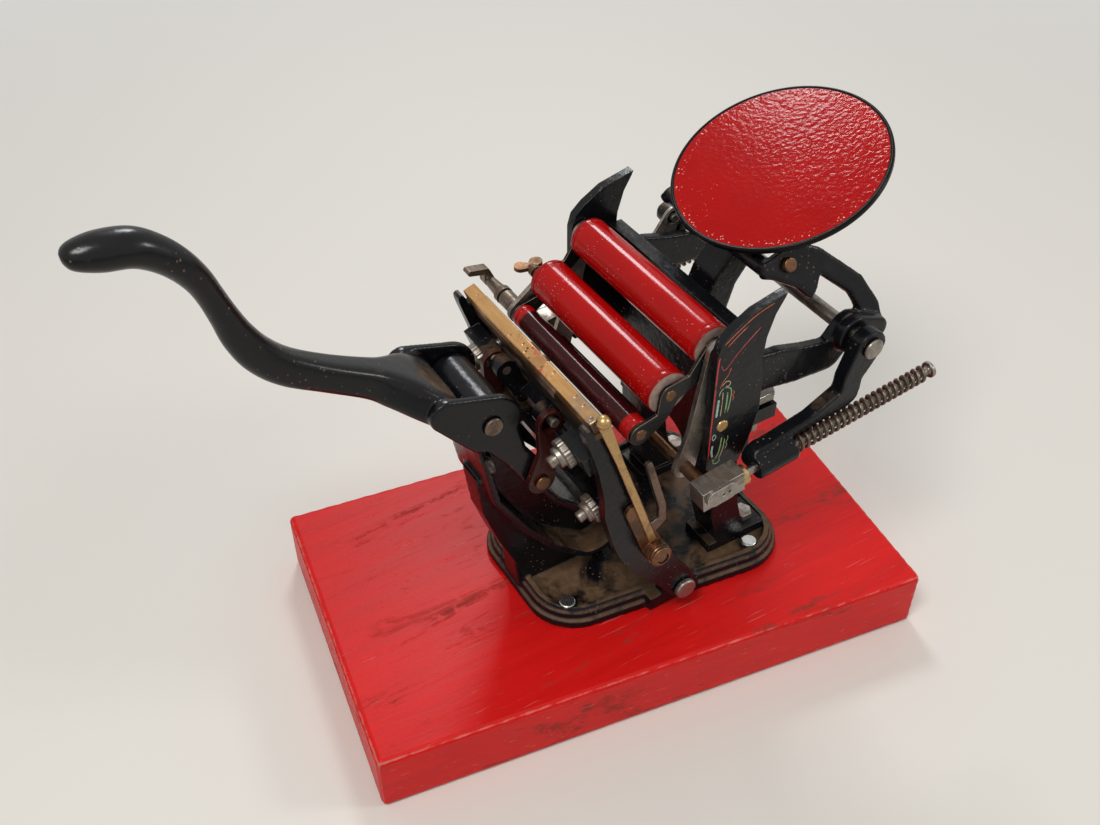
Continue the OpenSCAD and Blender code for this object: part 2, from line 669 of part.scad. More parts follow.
module drive_rod() color(old_steel) difference() {
    across(rod_plane, rod_plane + drive_t)
        limb([
            [rod_low_p[0], rod_low_p[1], 6], [rod_a[0], rod_a[1], 3], [rod_b[0], rod_b[1], 3],
            [rod_eye_p[0], rod_eye_p[1], crank_pin_r + rod_slack + 2.4]
        ]);
    bar_y(rod_low_p, rod_pin_r + run, cheek_in, arm_out);
    bar_y(rod_eye_p, crank_pin_r + rod_slack, cheek_in, arm_out);
}
module arm_crank_pin() color(old_steel)
    bar_y(rod_high_p, crank_pin_r - run, rod_plane - 0.2, arm_out + 0.6);

// Roller arms: an eye at the shaft, a neck, and a long arm down to the hook rod's guide
rod_fall = 7.5;
rod_dir = [cos(rod_fall), sin(rod_fall)];
guide_at = 28;
guide_len = 24;
guide_end = rod_from + guide_at * rod_dir;
arm_line = [
    [arm_x, arm_z, 9], [98, 139, 6.5], [97, 128, 6.5], [76, 117, 7], [52, 111, 7.5],
    [guide_end[0] + 6, guide_end[1] + 2, 8]
];
module one_arm() difference() {
    union() {
        across(arm_in, arm_out) limb(arm_line);
        along_rod(guide_at) cylinder(r = 6.5, h = guide_len);
    }
    bar_y(arm_p, arm_shaft_r + run, 40, 90);
    along_rod(-10) cylinder(r = hook_rod_r + run, h = 2 * rod_len);
    along_rod(guide_at + guide_len) cylinder(r = coil_r + wire_r + pass, h = rod_len);
}
module roller_arms() color(japan_black) {
    mirror([0, 1, 0]) one_arm();
    difference() {
        union() {
            one_arm();
            difference() {
                across(arm_in, arm_out) limb([[arm_x, arm_z, 8.5], [rod_high_p[0], rod_high_p[1], 6]]);
                bar_y(arm_p, arm_shaft_r + run, 40, 90);
            }
        }
        bar_y(rod_high_p, crank_pin_r, 40, 90);
    }
}
// Places what it is given on the hook rod, a distance back from the cross shaft
module along_rod(d)
    translate([rod_from[0] + d * rod_dir[0], rod_y, rod_from[1] + d * rod_dir[1] + board_t])
        rotate([0, 90 - rod_fall, 0]) children();

rod_len = 141;
module hook_rods() color(old_steel) both_sides() {
    along_rod(clevis_end - 8) cylinder(r = hook_rod_r - run, h = rod_len - clevis_end + 10);
    along_rod(rod_len) cylinder(r = coil_r + wire_r + 0.2, h = 2);
}
// Springs: wound wire between the arm's guide and the rod's head, with straight ends
spring_from = guide_at + guide_len + 0.1;
spring_len = rod_len - spring_from - 0.1;
coil_r = 3.6;
rings = 8;
wire_sides = 6;
lead = 2 * wire_r;
turn_in = 1.4 * wire_r;
pitch = (spring_len - 2 * (lead + turn_in)) / spring_turns;
coil_steps = spring_turns * rings;
end_turn = 360 * spring_turns;
function coil_at(i) = let (a = 360 * i / rings)
    [coil_r * cos(a), coil_r * sin(a), lead + turn_in + pitch * i / rings];
// One ring of the wire about a middle point, square to a way given by turn and climb
function wire_ring(m, a, climb) =
    let (out = [cos(a), sin(a), 0], over = [-sin(climb) * sin(a), sin(climb) * cos(a), -cos(climb)])
    [for (k = [0 : wire_sides - 1]) let (w = 360 * k / wire_sides) m + wire_r * (cos(w) * out + sin(w) * over)];
wire_rings = concat(
    [wire_ring([coil_r, 0, 0], 0, 90), wire_ring([coil_r, 0, lead], 0, 90)],
    [wire_ring([coil_r, 0.4 * turn_in, lead + 0.6 * turn_in], 0, 45)],
    [for (i = [1 : coil_steps - 1]) wire_ring(coil_at(i), 360 * i / rings, 0)],
    [wire_ring([coil_r, -0.4 * turn_in, spring_len - lead - 0.6 * turn_in], end_turn, 45)],
    [for (z = [spring_len - lead, spring_len]) wire_ring([coil_r, 0, z], end_turn, 90)]
);
module wound_wire() {
    n = len(wire_rings);
    pts = [for (r = wire_rings) each r];
    sides = [for (i = [0 : n - 2]) for (k = [0 : wire_sides - 1])
        let (a = i * wire_sides + k, b = i * wire_sides + (k + 1) % wire_sides)
        each [[a, a + wire_sides, b + wire_sides], [a, b + wire_sides, b]]];
    first = [for (k = [1 : wire_sides - 2]) [0, k, k + 1]];
    last = let (z = (n - 1) * wire_sides) [for (k = [1 : wire_sides - 2]) [z, z + k + 1, z + k]];
    polyhedron(pts, concat(first, sides, last));
}
coil_gap = min([for (i = [0 : rings]) norm(coil_at(i) - coil_at(i + rings))]) - 2 * wire_r;
echo(spring_gap = coil_gap);
module hook_springs() color(copper_brown) both_sides()
    along_rod(spring_from) wound_wire();

// Front ends of the hook rods: clevis, nut and lock plate on each
clevis_half = 5.5;
clevis_from = -7;
clevis_up = 8.5;
clevis_down = 3.8;
clevis_end = 18;
nut_t = 4;
plate_len = 8;
plate_half = 5.2;
module hook_clevises() color(old_brass) both_sides() difference() {
    along_rod(clevis_from) translate([-clevis_up, -clevis_half, 0])
        cube([clevis_up + clevis_down, 2 * clevis_half, clevis_end - clevis_from]);
    along_rod(clevis_end - 8) cylinder(r = hook_rod_r, h = 10);
    bar_y(cross_p, cross_r, cheek_in, 2 * rod_y);
}
module hook_nuts() color(old_brass) both_sides() difference() {
    along_rod(clevis_end) cylinder(r = clevis_half - 0.2, h = nut_t);
    along_rod(clevis_end - 1) cylinder(r = hook_rod_r, h = nut_t + 2);
}
plate_at = rod_from + [-1, 3.5];
module lock_plates() color(bright_steel) both_sides() difference() {
    across(rod_y + clevis_half, rod_y + clevis_half + 2)
        limb([
            [plate_at[0], plate_at[1], plate_half],
            [plate_at[0] + plate_len * rod_dir[0], plate_at[1] + plate_len * rod_dir[1], plate_half]
        ]);
    for (k = [0.55, 1])
        bar_y(plate_at + k * plate_len * rod_dir, 0.9, cheek_in, 2 * rod_y);
}
module cross_shaft() color(copper_brown)
    bar_y(cross_p, cross_r - run, -rod_y - clevis_half, rod_y + clevis_half);

// Saddles rise from the cross shaft inside the rails to the upper roller
// The far saddle has an arm forward to the wing screw and the thumb latch
saddle_out = saddle_in + saddle_t;
wing_p = [0, 152];
wing_r = 2.2;
latch_r = 3.2;
module roller_saddles() color(old_steel) difference() {
    union() {
        both_sides() across(saddle_in, saddle_out)
            limb([[cross_p[0], cross_p[1], 6.5], [15, 128, 5], [19, 152, 5], [upper_p[0], upper_p[1], 6.5]]);
        across(saddle_in, saddle_out)
            limb([[17, 146, 5], [wing_p[0], wing_p[1], 5.5], [rider_p[0], rider_p[1], 6.5]]);
    }
    both_sides() {
        bar_y(cross_p, cross_r, 0, 90);
        bar_y(upper_p, roller_shaft_r, hook_in, 90);
    }
    bar_y(wing_p, wing_r, 0, 90);
    bar_y(rider_p, latch_r, 0, 90);
}
// Hooks carry the lower roller and the rider, and swing on the upper roller's shaft
module roller_hooks() color(bright_steel) both_sides() difference() {
    across(hook_in, hook_in + hook_t)
        limb([
            [upper_p[0], upper_p[1], 6], [12, 160, 3.6], [lower_p[0], lower_p[1], 6],
            [-4, 144, 3.4], [rider_p[0], rider_p[1], 6]
        ]);
    bar_y(upper_p, roller_shaft_r + run, 0, 90);
    bar_y(lower_p, roller_shaft_r + run, 0, 90);
    bar_y(rider_p, roller_shaft_r + run, 0, 90);
}
module barrel(p, r) difference() {
    bar_y(p, r, -roller_half, roller_half);
    bar_y(p, roller_shaft_r + run, -roller_half - 1, roller_half + 1);
}
module core(p, end) bar_y(p, roller_shaft_r, -end, end);
module upper_roller() color(ink_red) barrel(upper_p, roller_r);
module lower_roller() color(ink_red) barrel(lower_p, roller_r + 0.5);
module rider_roller() color(dark_maroon) barrel(rider_p, rider_r);
module upper_roller_core() color(copper_brown) core(upper_p, saddle_out);
module lower_roller_core() color(copper_brown) core(lower_p, hook_out + 0.3);
module rider_core() color(copper_brown) core(rider_p, hook_out + 0.3);

// Wing screw of the far saddle: stem, collar and two round wings
wing_y = 73;
module wing_screw() color(old_brass) {
    bar_y(wing_p, wing_r, saddle_in, wing_y);
    bar_y(wing_p, wing_r + 1.2, wing_y - 6, wing_y - 3);
    translate([wing_p[0], wing_y, wing_p[1] + board_t - 1.1]) linear_extrude(2.2)
        limb([[-4.8, 2.6, 3.6], [0, 0, 2], [4.8, 2.6, 3.6]]);
}
// Thumb latch of the far saddle: barrel, collar, tapered neck and a bent tab
latch_barrel_y = [saddle_out, 72];
latch_collar_y = [73.5, 77];
latch_neck_end = 92;
latch_tab_w = 6;
module thumb_latch() color(copper_brown) {
    bar_y(rider_p, latch_r, saddle_in, latch_collar_y[1]);
    bar_y(rider_p, 4.8, latch_barrel_y[0], latch_barrel_y[1]);
    bar_y(rider_p, 5, latch_collar_y[0], latch_collar_y[1]);
    translate([rider_p[0], latch_collar_y[1], rider_p[1] + board_t]) rotate([-90, 0, 0])
        cylinder(r1 = 4, r2 = 2.8, h = latch_neck_end - latch_collar_y[1]);
    across(latch_neck_end - 2, latch_neck_end - 2 + latch_tab_w) translate(rider_p)
        limb([[0, 0, 3.2], [-1.5, 6.5, 1.8], [-11.5, 8.5, 1.6]]);
}

base_board();
base_casting();
base_screws();
rocker_shaft();
lever_shaft();
column_ring();
bed_casting();
bed_bolts();
side_rails();
rail_screws();
side_brackets();
arm_shaft();
yoke_pins();
bed_clamp_screw();
disc_bracket();
disc_stud();
ink_disc();
disc_ratchet();
lever();
lever_pins();
toggle_links();
rocker_casting();
platen_plate();
impression_screws();
impression_nuts();
tympan_bar();
tympan_strip();
link_pins();
rod_pin();
gripper_shaft();
gripper_arm();
gripper_bale();
gripper_fingers();
drive_rod();
roller_arms();
arm_crank_pin();
hook_rods();
hook_springs();
hook_clevises();
hook_nuts();
lock_plates();
cross_shaft();
roller_saddles();
roller_hooks();
upper_roller();
upper_roller_core();
lower_roller();
lower_roller_core();
rider_roller();
rider_core();
wing_screw();
thumb_latch();
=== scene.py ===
import json
import math

import bmesh
import bpy
import numpy as np
from mathutils import Matrix, Vector

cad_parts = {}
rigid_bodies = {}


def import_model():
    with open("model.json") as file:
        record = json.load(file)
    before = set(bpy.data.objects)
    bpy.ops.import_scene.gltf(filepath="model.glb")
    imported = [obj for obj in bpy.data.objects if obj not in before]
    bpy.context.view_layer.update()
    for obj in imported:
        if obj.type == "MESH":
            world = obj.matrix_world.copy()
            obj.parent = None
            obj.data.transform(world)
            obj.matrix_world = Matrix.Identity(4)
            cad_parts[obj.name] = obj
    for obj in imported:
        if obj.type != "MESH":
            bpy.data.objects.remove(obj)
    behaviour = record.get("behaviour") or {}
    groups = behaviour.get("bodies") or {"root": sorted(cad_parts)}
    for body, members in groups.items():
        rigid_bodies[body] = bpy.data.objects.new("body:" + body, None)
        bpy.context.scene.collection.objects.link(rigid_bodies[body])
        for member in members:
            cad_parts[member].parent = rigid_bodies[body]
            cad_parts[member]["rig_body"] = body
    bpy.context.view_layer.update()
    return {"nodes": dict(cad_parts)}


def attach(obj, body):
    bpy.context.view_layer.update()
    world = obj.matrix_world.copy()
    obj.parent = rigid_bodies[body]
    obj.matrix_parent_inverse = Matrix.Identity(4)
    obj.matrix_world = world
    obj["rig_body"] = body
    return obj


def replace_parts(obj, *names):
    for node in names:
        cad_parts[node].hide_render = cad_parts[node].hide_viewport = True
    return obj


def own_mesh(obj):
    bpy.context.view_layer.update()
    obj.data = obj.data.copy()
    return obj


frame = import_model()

print("packed press loaded")

# pieces are worked out in mm; camera, lamps, floor and finishes are in metres
mm = 0.001
tiny = 1e-6  # a distance that counts as none
boardTop = 38 # heights over the board are counted from here
rockerShaft = (14, 19)  # its place along the press, and its height over the board
platenLean = math.radians(20)  # how far the open platen leans away from the bed
fullTurn = 2 * np.pi


def tone(red, green, blue):
    # screen colour 0-255 to the linear colour that a shader takes: a power, or a line near black
    shares = [c / 255 for c in (red, green, blue)]
    linear = [((c + 0.055) / 1.055) ** 2.4 if c > 10 / 255 else c / 12.92 for c in shares]
    return (*linear, 1.0)


camera = {
    "place": (-0.2759, -0.4023, 0.5717),
    "right": (0.8553, -0.5181, 0.0002),
    "up": (0.3431, 0.5667, 0.7491),
    "lens": 40.52, "sensor": 36, "sees": (0.02, 60),
}


def placeCamera(s):
    # the camera's own axes: right, up and their cross product, which points back from the view
    data = bpy.data.cameras.new("studioCamera")
    data.lens, data.sensor_width = s["lens"], s["sensor"]
    data.clip_start, data.clip_end = s["sees"]
    eye = bpy.data.objects.new("studioCamera", data)
    bpy.context.scene.collection.objects.link(eye)
    right, up = np.array(s["right"]), np.array(s["up"])
    back = np.cross(right, up)
    turn = np.eye(4)
    turn[:3, 0], turn[:3, 1], turn[:3, 2], turn[:3, 3] = right, up, back, s["place"]
    eye.matrix_world = Matrix(turn.tolist())
    bpy.context.scene.camera = eye


lamps = {
    "window": {
        "place": (-0.55, -0.35, 1.25), "size": 0.38, "power": 8.5, "colour": (1.0, 0.97, 0.93)},
    "side": {
        "place": (1.05, -0.75, 0.95), "size": 0.28, "power": 4.6, "colour": (1.0, 0.98, 0.96)},
    "behind": {
        "place": (0.38, 0.86, 1.10), "size": 0.26, "power": 5.4, "colour": (0.96, 0.98, 1.0)},
}
lampAim = (0.0, 0.0, 0.14)


def hangLamps(lampSet, aim):
    # square lamps, each turned so that it shines from its place to the aim
    for name, s in lampSet.items():
        data = bpy.data.lights.new(name, "AREA")
        data.size, data.energy, data.color = s["size"], s["power"], s["colour"]
        lamp = bpy.data.objects.new(name, data)
        bpy.context.scene.collection.objects.link(lamp)
        lamp.location = s["place"]
        away = Vector(s["place"]) - Vector(aim)
        lamp.rotation_mode = "QUATERNION"
        lamp.rotation_quaternion = away.to_track_quat("Z", "Y")


class Value:
    # one socket of a material; sums and products of values become Math nodes
    def __init__(self, paint, socket):
        self.paint, self.socket = paint, socket

    def calc(self, operation, first, second=0.0):
        return self.paint.add("ShaderNodeMath", {"operation": operation}, {0: first, 1: second})

    def __add__(self, other):
        return self.calc("ADD", self, other)

    def __sub__(self, other):
        return self.calc("SUBTRACT", self, other)

    def __rsub__(self, other):
        return self.calc("SUBTRACT", other, self)

    def __mul__(self, other):
        return self.calc("MULTIPLY", self, other)

    def __abs__(self):
        return self.calc("ABSOLUTE", self)

    __radd__ = __add__
    __rmul__ = __mul__


class Paint:
    # the nodes of one material, or of the world where its tree is given
    def __init__(self, name, tree=None):
        self.material = None if tree else bpy.data.materials.new(name)
        if not tree:
            self.material.use_nodes = True
        self.tree = tree or self.material.node_tree
        self.tree.nodes.clear()

    def add(self, kind, settings=None, sockets=None, out=0):
        # makes one node: its settings first, then a number, a colour or a link for each socket
        node = self.tree.nodes.new(kind)
        for key, value in (settings or {}).items():
            setattr(node, key, value)
        for key, value in (sockets or {}).items():
            if isinstance(value, Value):
                self.tree.links.new(value.socket, node.inputs[key])
            else:
                node.inputs[key].default_value = value
        return Value(self, node.outputs[out]) if node.outputs else node

    def place(self, output="Object"):
        return self.add("ShaderNodeTexCoord", out=output)

    def moved(self, scale=(1, 1, 1), turn=(0, 0, 0), centre=(0, 0, 0), kind="POINT"):
        # the place in space, stretched, turned (degrees) and centred
        turned = [math.radians(a) for a in turn]
        sockets = {"Vector": self.place(), "Location": centre, "Rotation": turned, "Scale": scale}
        return self.add("ShaderNodeMapping", {"vector_type": kind}, sockets)

    def part(self, vector, axis):
        return self.add("ShaderNodeSeparateXYZ", None, {0: vector}, "XYZ".index(axis))

    def length(self, vector):
        return self.add("ShaderNodeVectorMath", {"operation": "LENGTH"}, {0: vector}, "Value")

    def larger(self, first, second):
        return self.add("ShaderNodeMath", {"operation": "MAXIMUM"}, {0: first, 1: second})

    def noise(self, scale, detail=3.0, rough=0.55, vector=None, warp=0.0):
        sockets = {"Vector": vector or self.place(), "Scale": scale, "Detail": detail}
        sockets.update({"Roughness": rough, "Distortion": warp})
        return self.add("ShaderNodeTexNoise", None, sockets)

    def between(self, value, low, high):
        # 0 below low, 1 above high, a smooth step between them; low may be the larger
        sockets = {"Value": value, "From Min": low, "From Max": high}
        return self.add("ShaderNodeMapRange", {"interpolation_type": "SMOOTHSTEP"}, sockets)

    def patches(self, noise, edge, **more):
        # a noise (scale, detail, roughness) that goes from 0 to 1 across the edge
        return self.between(self.noise(*noise, **more), *edge)

    def dots(self, scale, edge, vector=None):
        # spots round scattered points: the distance to the nearest goes from 0 to 1 across the edge
        sockets = {"Vector": vector or self.place(), "Scale": scale}
        distance = self.add("ShaderNodeTexVoronoi", {"feature": "F1"}, sockets, "Distance")
        return self.between(distance, *edge)

    def mix(self, share, first, second):
        return self.add("ShaderNodeMix", {"data_type": "RGBA"}, {0: share, 6: first, 7: second}, 2)

    def bump(self, height, distance, strength):
        sockets = {"Height": height, "Distance": distance, "Strength": strength}
        return self.add("ShaderNodeBump", None, sockets)

    def finish(self, sockets):
        shader = self.add("ShaderNodeBsdfPrincipled", None, sockets)
        self.add("ShaderNodeOutputMaterial", None, {"Surface": shader})
        return self.material


studio = {
    "wall": (0.84, 0.83, 0.81, 1), "seen": 0.9, "fill": 0.46, "fadeFrom": 0.45, "fadeTo": 1.6,
    "floor": tone(222, 219, 213), "floorCloud": tone(208, 205, 199), "cloud": (3.0, 2.0),
    "cloudShare": 0.12, "floorRough": 0.62, "floorGloss": 0.3, "floorHalf": 9,
}


def paintWorld(s):
    # the wall's colour all round: bright where it is seen or mirrored, dimmer where it only lights
    world = bpy.data.worlds.new("studio")
    world.use_nodes = True
    bpy.context.scene.world = world
    p = Paint("studio", world.node_tree)
    kinds = ("Camera", "Glossy", "Transmission")
    rays = (p.add("ShaderNodeLightPath", out=f"Is {kind} Ray") for kind in kinds)
    direct, mirrored, through = rays
    clamped = {"operation": "ADD", "use_clamp": True}
    seen = p.add("ShaderNodeMath", clamped, {0: direct + mirrored, 1: through})
    strength = seen * (s["seen"] - s["fill"]) + s["fill"]
    light = p.add("ShaderNodeBackground", None, {"Color": s["wall"], "Strength": strength})
    p.add("ShaderNodeOutputWorld", None, {"Surface": light})


def floorFinish(s):
    # pale and matt near the press; far off it takes the wall's own colour, so no horizon shows
    p = Paint("paleFloor")
    near = p.add("ShaderNodeBsdfPrincipled", None, {
        "Base Color": p.mix(p.noise(*s["cloud"]) * s["cloudShare"], s["floor"], s["floorCloud"]),
        "Roughness": s["floorRough"], "Specular IOR Level": s["floorGloss"],
    })
    far = p.add("ShaderNodeEmission", None, {"Color": s["wall"], "Strength": s["seen"]})
    seen = p.add("ShaderNodeLightPath", out="Is Camera Ray")
    share = p.between(p.length(p.place()), s["fadeFrom"], s["fadeTo"]) * seen
    shader = p.add("ShaderNodeMixShader", None, {0: share, 1: near, 2: far})
    p.add("ShaderNodeOutputMaterial", None, {"Surface": shader})
    return p.material


placeCamera(camera)
hangLamps(lamps, lampAim)
paintWorld(studio)
bpy.context.scene.view_settings.view_transform = "Standard"

# finishes: a noise is its scale, detail and roughness; an edge is where a mask starts and is full
japan = {
    "dark": tone(8, 8, 10), "light": tone(20, 22, 27), "dustDark": tone(72, 52, 38),
    "dustPale": tone(138, 110, 84), "chip": tone(120, 94, 74), "bare": tone(92, 78, 66),
    "fine": (240, 4), "swell": (90, 2), "patch": (36, 4, 0.62), "patchWarp": 0.5,
    "facing": (0.35, 0.95), "below": 0.5, "belowFade": 0.02,
    "dust": 0.5, "dustFrom": 0.52, "dustStep": 0.16,
    "chips": 0.6, "chipScale": 330, "chipEdge": (0.22, 0.12), "chipNoise": (42, 2),
    "chipPatch": (0.5, 0.62), "rub": 0.3, "rubNoise": (95, 5, 0.7), "rubEdge": (0.66, 0.74),
    "rough": 0.16, "gloss": 0.22, "depth": 0.0006, "relief": 0.75,
}
# each look's material, and where it differs from plain black japan
japans = {
    "japan": ("japanBlack", {}),
    "dusty": ("japanDusty", {
        "dust": 0.68, "dustFrom": 0.38, "patch": (30, 4, 0.62), "below": 0.085,
        "dustDark": tone(62, 48, 38), "dustPale": tone(150, 116, 84)}),
    "lever": ("japanLever", {
        "dark": tone(4, 4, 6), "light": tone(12, 13, 17), "dust": 0.2, "dustFrom": 0.58,
        "rub": 0.15, "relief": 0.4, "gloss": 0.3}),
    "maroon": ("japanMaroon", {"dark": tone(34, 12, 12), "light": tone(70, 24, 20), "rub": 0.5}),
    # the edge look is rubbed wear on the rounded edges, and its lighter black is a painted
    # highlight along them
    "edge": ("japanEdgeWearAndHighlight", {
        "dark": tone(18, 17, 18), "light": tone(44, 40, 38), "bare": tone(132, 112, 92),
        "dust": 0.4, "dustFrom": 0.45, "rub": 0.8, "relief": 0.4, "gloss": 0.4}),
}


def japanFinish(name, s):
    # black stoving enamel: brush swell, chips to brown primer, rubbed metal, dust on what faces up
    p = Paint(name)
    fine, broad = p.noise(*s["fine"]), p.noise(*s["patch"], warp=s["patchWarp"])
    up = p.between(p.part(p.place("Normal"), "Z"), *s["facing"])
    low = p.between(p.part(p.place(), "Z"), s["below"] + s["belowFade"], s["below"])
    dust = p.between(broad, s["dustFrom"], s["dustFrom"] + s["dustStep"]) * up * low * s["dust"]
    chip = p.dots(s["chipScale"], s["chipEdge"]) * p.patches(s["chipNoise"], s["chipPatch"])
    rub = p.patches(s["rubNoise"], s["rubEdge"]) * s["rub"]
    black = p.mix(broad, s["dark"], s["light"])
    base = p.mix(dust, black, p.mix(fine, s["dustDark"], s["dustPale"]))
    base = p.mix(chip * s["chips"], base, s["chip"])
    base = p.mix(rub, base, s["bare"])
    height = fine * 0.5 + p.noise(*s["swell"]) * 0.6 - chip * 0.5 + dust * 0.25
    rough = s["rough"] + fine * 0.16 + dust * 0.5 + rub * 0.2
    return p.finish({
        "Base Color": base, "Roughness": rough, "Normal": p.bump(height, s["depth"], s["relief"]),
        "Specular IOR Level": s["gloss"],
    })


wornMetal = {
    "lines": (60, 4, 0.6), "pull": (9, 1.5, 9),
    "bloomNoise": (75, 4, 0.65), "bloomWarp": 0.4, "bloomStep": 0.2,
    "pitScale": 420, "pitEdge": (0.2, 0.1), "pitNoise": (60, 2), "pitPatch": (0.48, 0.6),
    "metal": 0.96, "depth": 0.0004, "relief": 0.5,
}
metals = {
    "steel": {
        "dark": tone(112, 104, 96), "bright": tone(176, 170, 162), "stain": tone(88, 66, 50),
        "pitted": tone(50, 40, 34), "bloomFrom": 0.46, "bloom": 0.75, "pits": 0.7, "rough": 0.3},
    "bright": {
        "dark": tone(168, 168, 168), "bright": tone(226, 225, 222), "stain": tone(122, 106, 90),
        "pitted": tone(90, 80, 70), "bloomFrom": 0.56, "bloom": 0.6, "pits": 0.4, "rough": 0.2},
    "brass": {
        "dark": tone(150, 116, 74), "bright": tone(208, 176, 124), "stain": tone(108, 78, 48),
        "pitted": tone(62, 40, 24), "bloomFrom": 0.52, "bloom": 0.7, "pits": 0.7, "rough": 0.28},
    "bronze": {
        "dark": tone(84, 56, 40), "bright": tone(142, 106, 78), "stain": tone(58, 42, 32),
        "pitted": tone(36, 26, 20), "bloomFrom": 0.48, "bloom": 0.7, "pits": 0.6, "rough": 0.3},
    "spring": {
        "dark": tone(70, 54, 44), "bright": tone(148, 134, 120), "stain": tone(58, 40, 30),
        "pitted": tone(30, 24, 20), "bloomFrom": 0.42, "bloom": 0.7, "pits": 0.5, "rough": 0.3},
}


def metalFinish(name, s):
    # worn metal: drawn scratches along one way, brown bloom in patches, dark pits
    p = Paint(name)
    lines = p.noise(*s["lines"], p.moved(s["pull"]))
    bloomEdge = (s["bloomFrom"], s["bloomFrom"] + s["bloomStep"])
    bloom = p.patches(s["bloomNoise"], bloomEdge, warp=s["bloomWarp"])
    pit = p.dots(s["pitScale"], s["pitEdge"]) * p.patches(s["pitNoise"], s["pitPatch"])
    base = p.mix(lines, s["dark"], s["bright"])
    base = p.mix(bloom * s["bloom"], base, s["stain"])
    base = p.mix(pit * s["pits"], base, s["pitted"])
    height = lines * 0.3 - pit * 0.8 + bloom * 0.2
    return p.finish({
        "Base Color": base, "Roughness": s["rough"] + lines * 0.14 + bloom * 0.22 * s["bloom"],
        "Metallic": s["metal"] - bloom * 0.55 * s["bloom"],
        "Normal": p.bump(height, s["depth"], s["relief"]),
    })


barBrass = {
    "dark": tone(164, 116, 66), "bright": tone(222, 178, 122), "stain": tone(128, 86, 48),
    "pitted": tone(54, 34, 22), "ink": tone(168, 34, 22), "grey": tone(126, 120, 114),
    "lines": (60, 4, 0.6), "pull": (9, 1.2, 9),
    "bloomNoise": (52, 4, 0.68), "bloomWarp": 0.5, "bloomEdge": (0.5, 0.64),
    "pitScale": 230, "pitEdge": (0.3, 0.16), "pitNoise": (48, 3), "pitPatch": (0.45, 0.56),
    "inkAt": 0.012, "inkReach": (0.017, 0.004), "inkNoise": (85, 4, 0.7), "inkEdge": (0.5, 0.58),
    "greyTo": -0.036, "greyFade": 0.012, "greyNoise": (70, 3), "greyEdge": (0.3, 0.55),
    "rough": 0.3, "metal": 0.9, "depth": 0.0004, "relief": 0.6,
}


def barFinish(s):
    # brass bar: tarnish, small dark pits, one red ink stain, grey steel showing at the near end
    p = Paint("wornBrassBar")
    y = p.part(p.place(), "Y")
    lines = p.noise(*s["lines"], p.moved(s["pull"]))
    pit = p.dots(s["pitScale"], s["pitEdge"]) * p.patches(s["pitNoise"], s["pitPatch"])
    bloom = p.patches(s["bloomNoise"], s["bloomEdge"], warp=s["bloomWarp"])
    ink = p.patches(s["inkNoise"], s["inkEdge"]) * p.between(abs(y + s["inkAt"]), *s["inkReach"])
    nearEnd = p.between(y, s["greyTo"], s["greyTo"] - s["greyFade"])
    grey = nearEnd * p.patches(s["greyNoise"], s["greyEdge"])
    base = p.mix(lines, s["dark"], s["bright"])
    base = p.mix(bloom * 0.65, base, s["stain"])
    base = p.mix(pit * 0.85, base, s["pitted"])
    base = p.mix(ink * 0.8, base, s["ink"])
    base = p.mix(grey * 0.7, base, s["grey"])
    return p.finish({
        "Base Color": base, "Roughness": s["rough"] + bloom * 0.2 + pit * 0.2,
        "Metallic": s["metal"] - bloom * 0.4 - ink * 0.3,
        "Normal": p.bump(lines * 0.3 - pit, s["depth"], s["relief"]),
    })


boardRed = {
    "turn": 8.7, "half": (0.16, 0.092, 0.038), "edgeFrom": 0.0028, "edgeTo": 0.0006,
    "deep": tone(184, 14, 14), "red": tone(222, 24, 22), "stain": tone(92, 52, 42),
    "pale": tone(228, 116, 106), "rub": tone(226, 132, 122), "wood": tone(150, 116, 92),
    "grain": (16, 5, 0.62), "grainPull": (1, 9, 9), "grainWarp": 0.6,
    "streak": (9, 5, 0.7), "streakPull": (1, 5, 5), "streakWarp": 0.8, "streakEdge": (0.54, 0.66),
    "stainNoise": (150, 4, 0.7), "stainEdge": (0.36, 0.6),
    "scratch": (60, 3, 0.6), "scratchPull": (0.5, 12, 8), "scratchTurn": 14,
    "scratchEdge": (0.66, 0.71), "rubNoise": (70, 5, 0.75), "rubEdge": (0.3, 0.5),
    "woodNoise": (180, 3), "woodEdge": (0.5, 0.64),
    "fine": (700, 2), "rough": 0.36, "gloss": 0.22, "depth": 0.0007, "relief": 0.45,
}


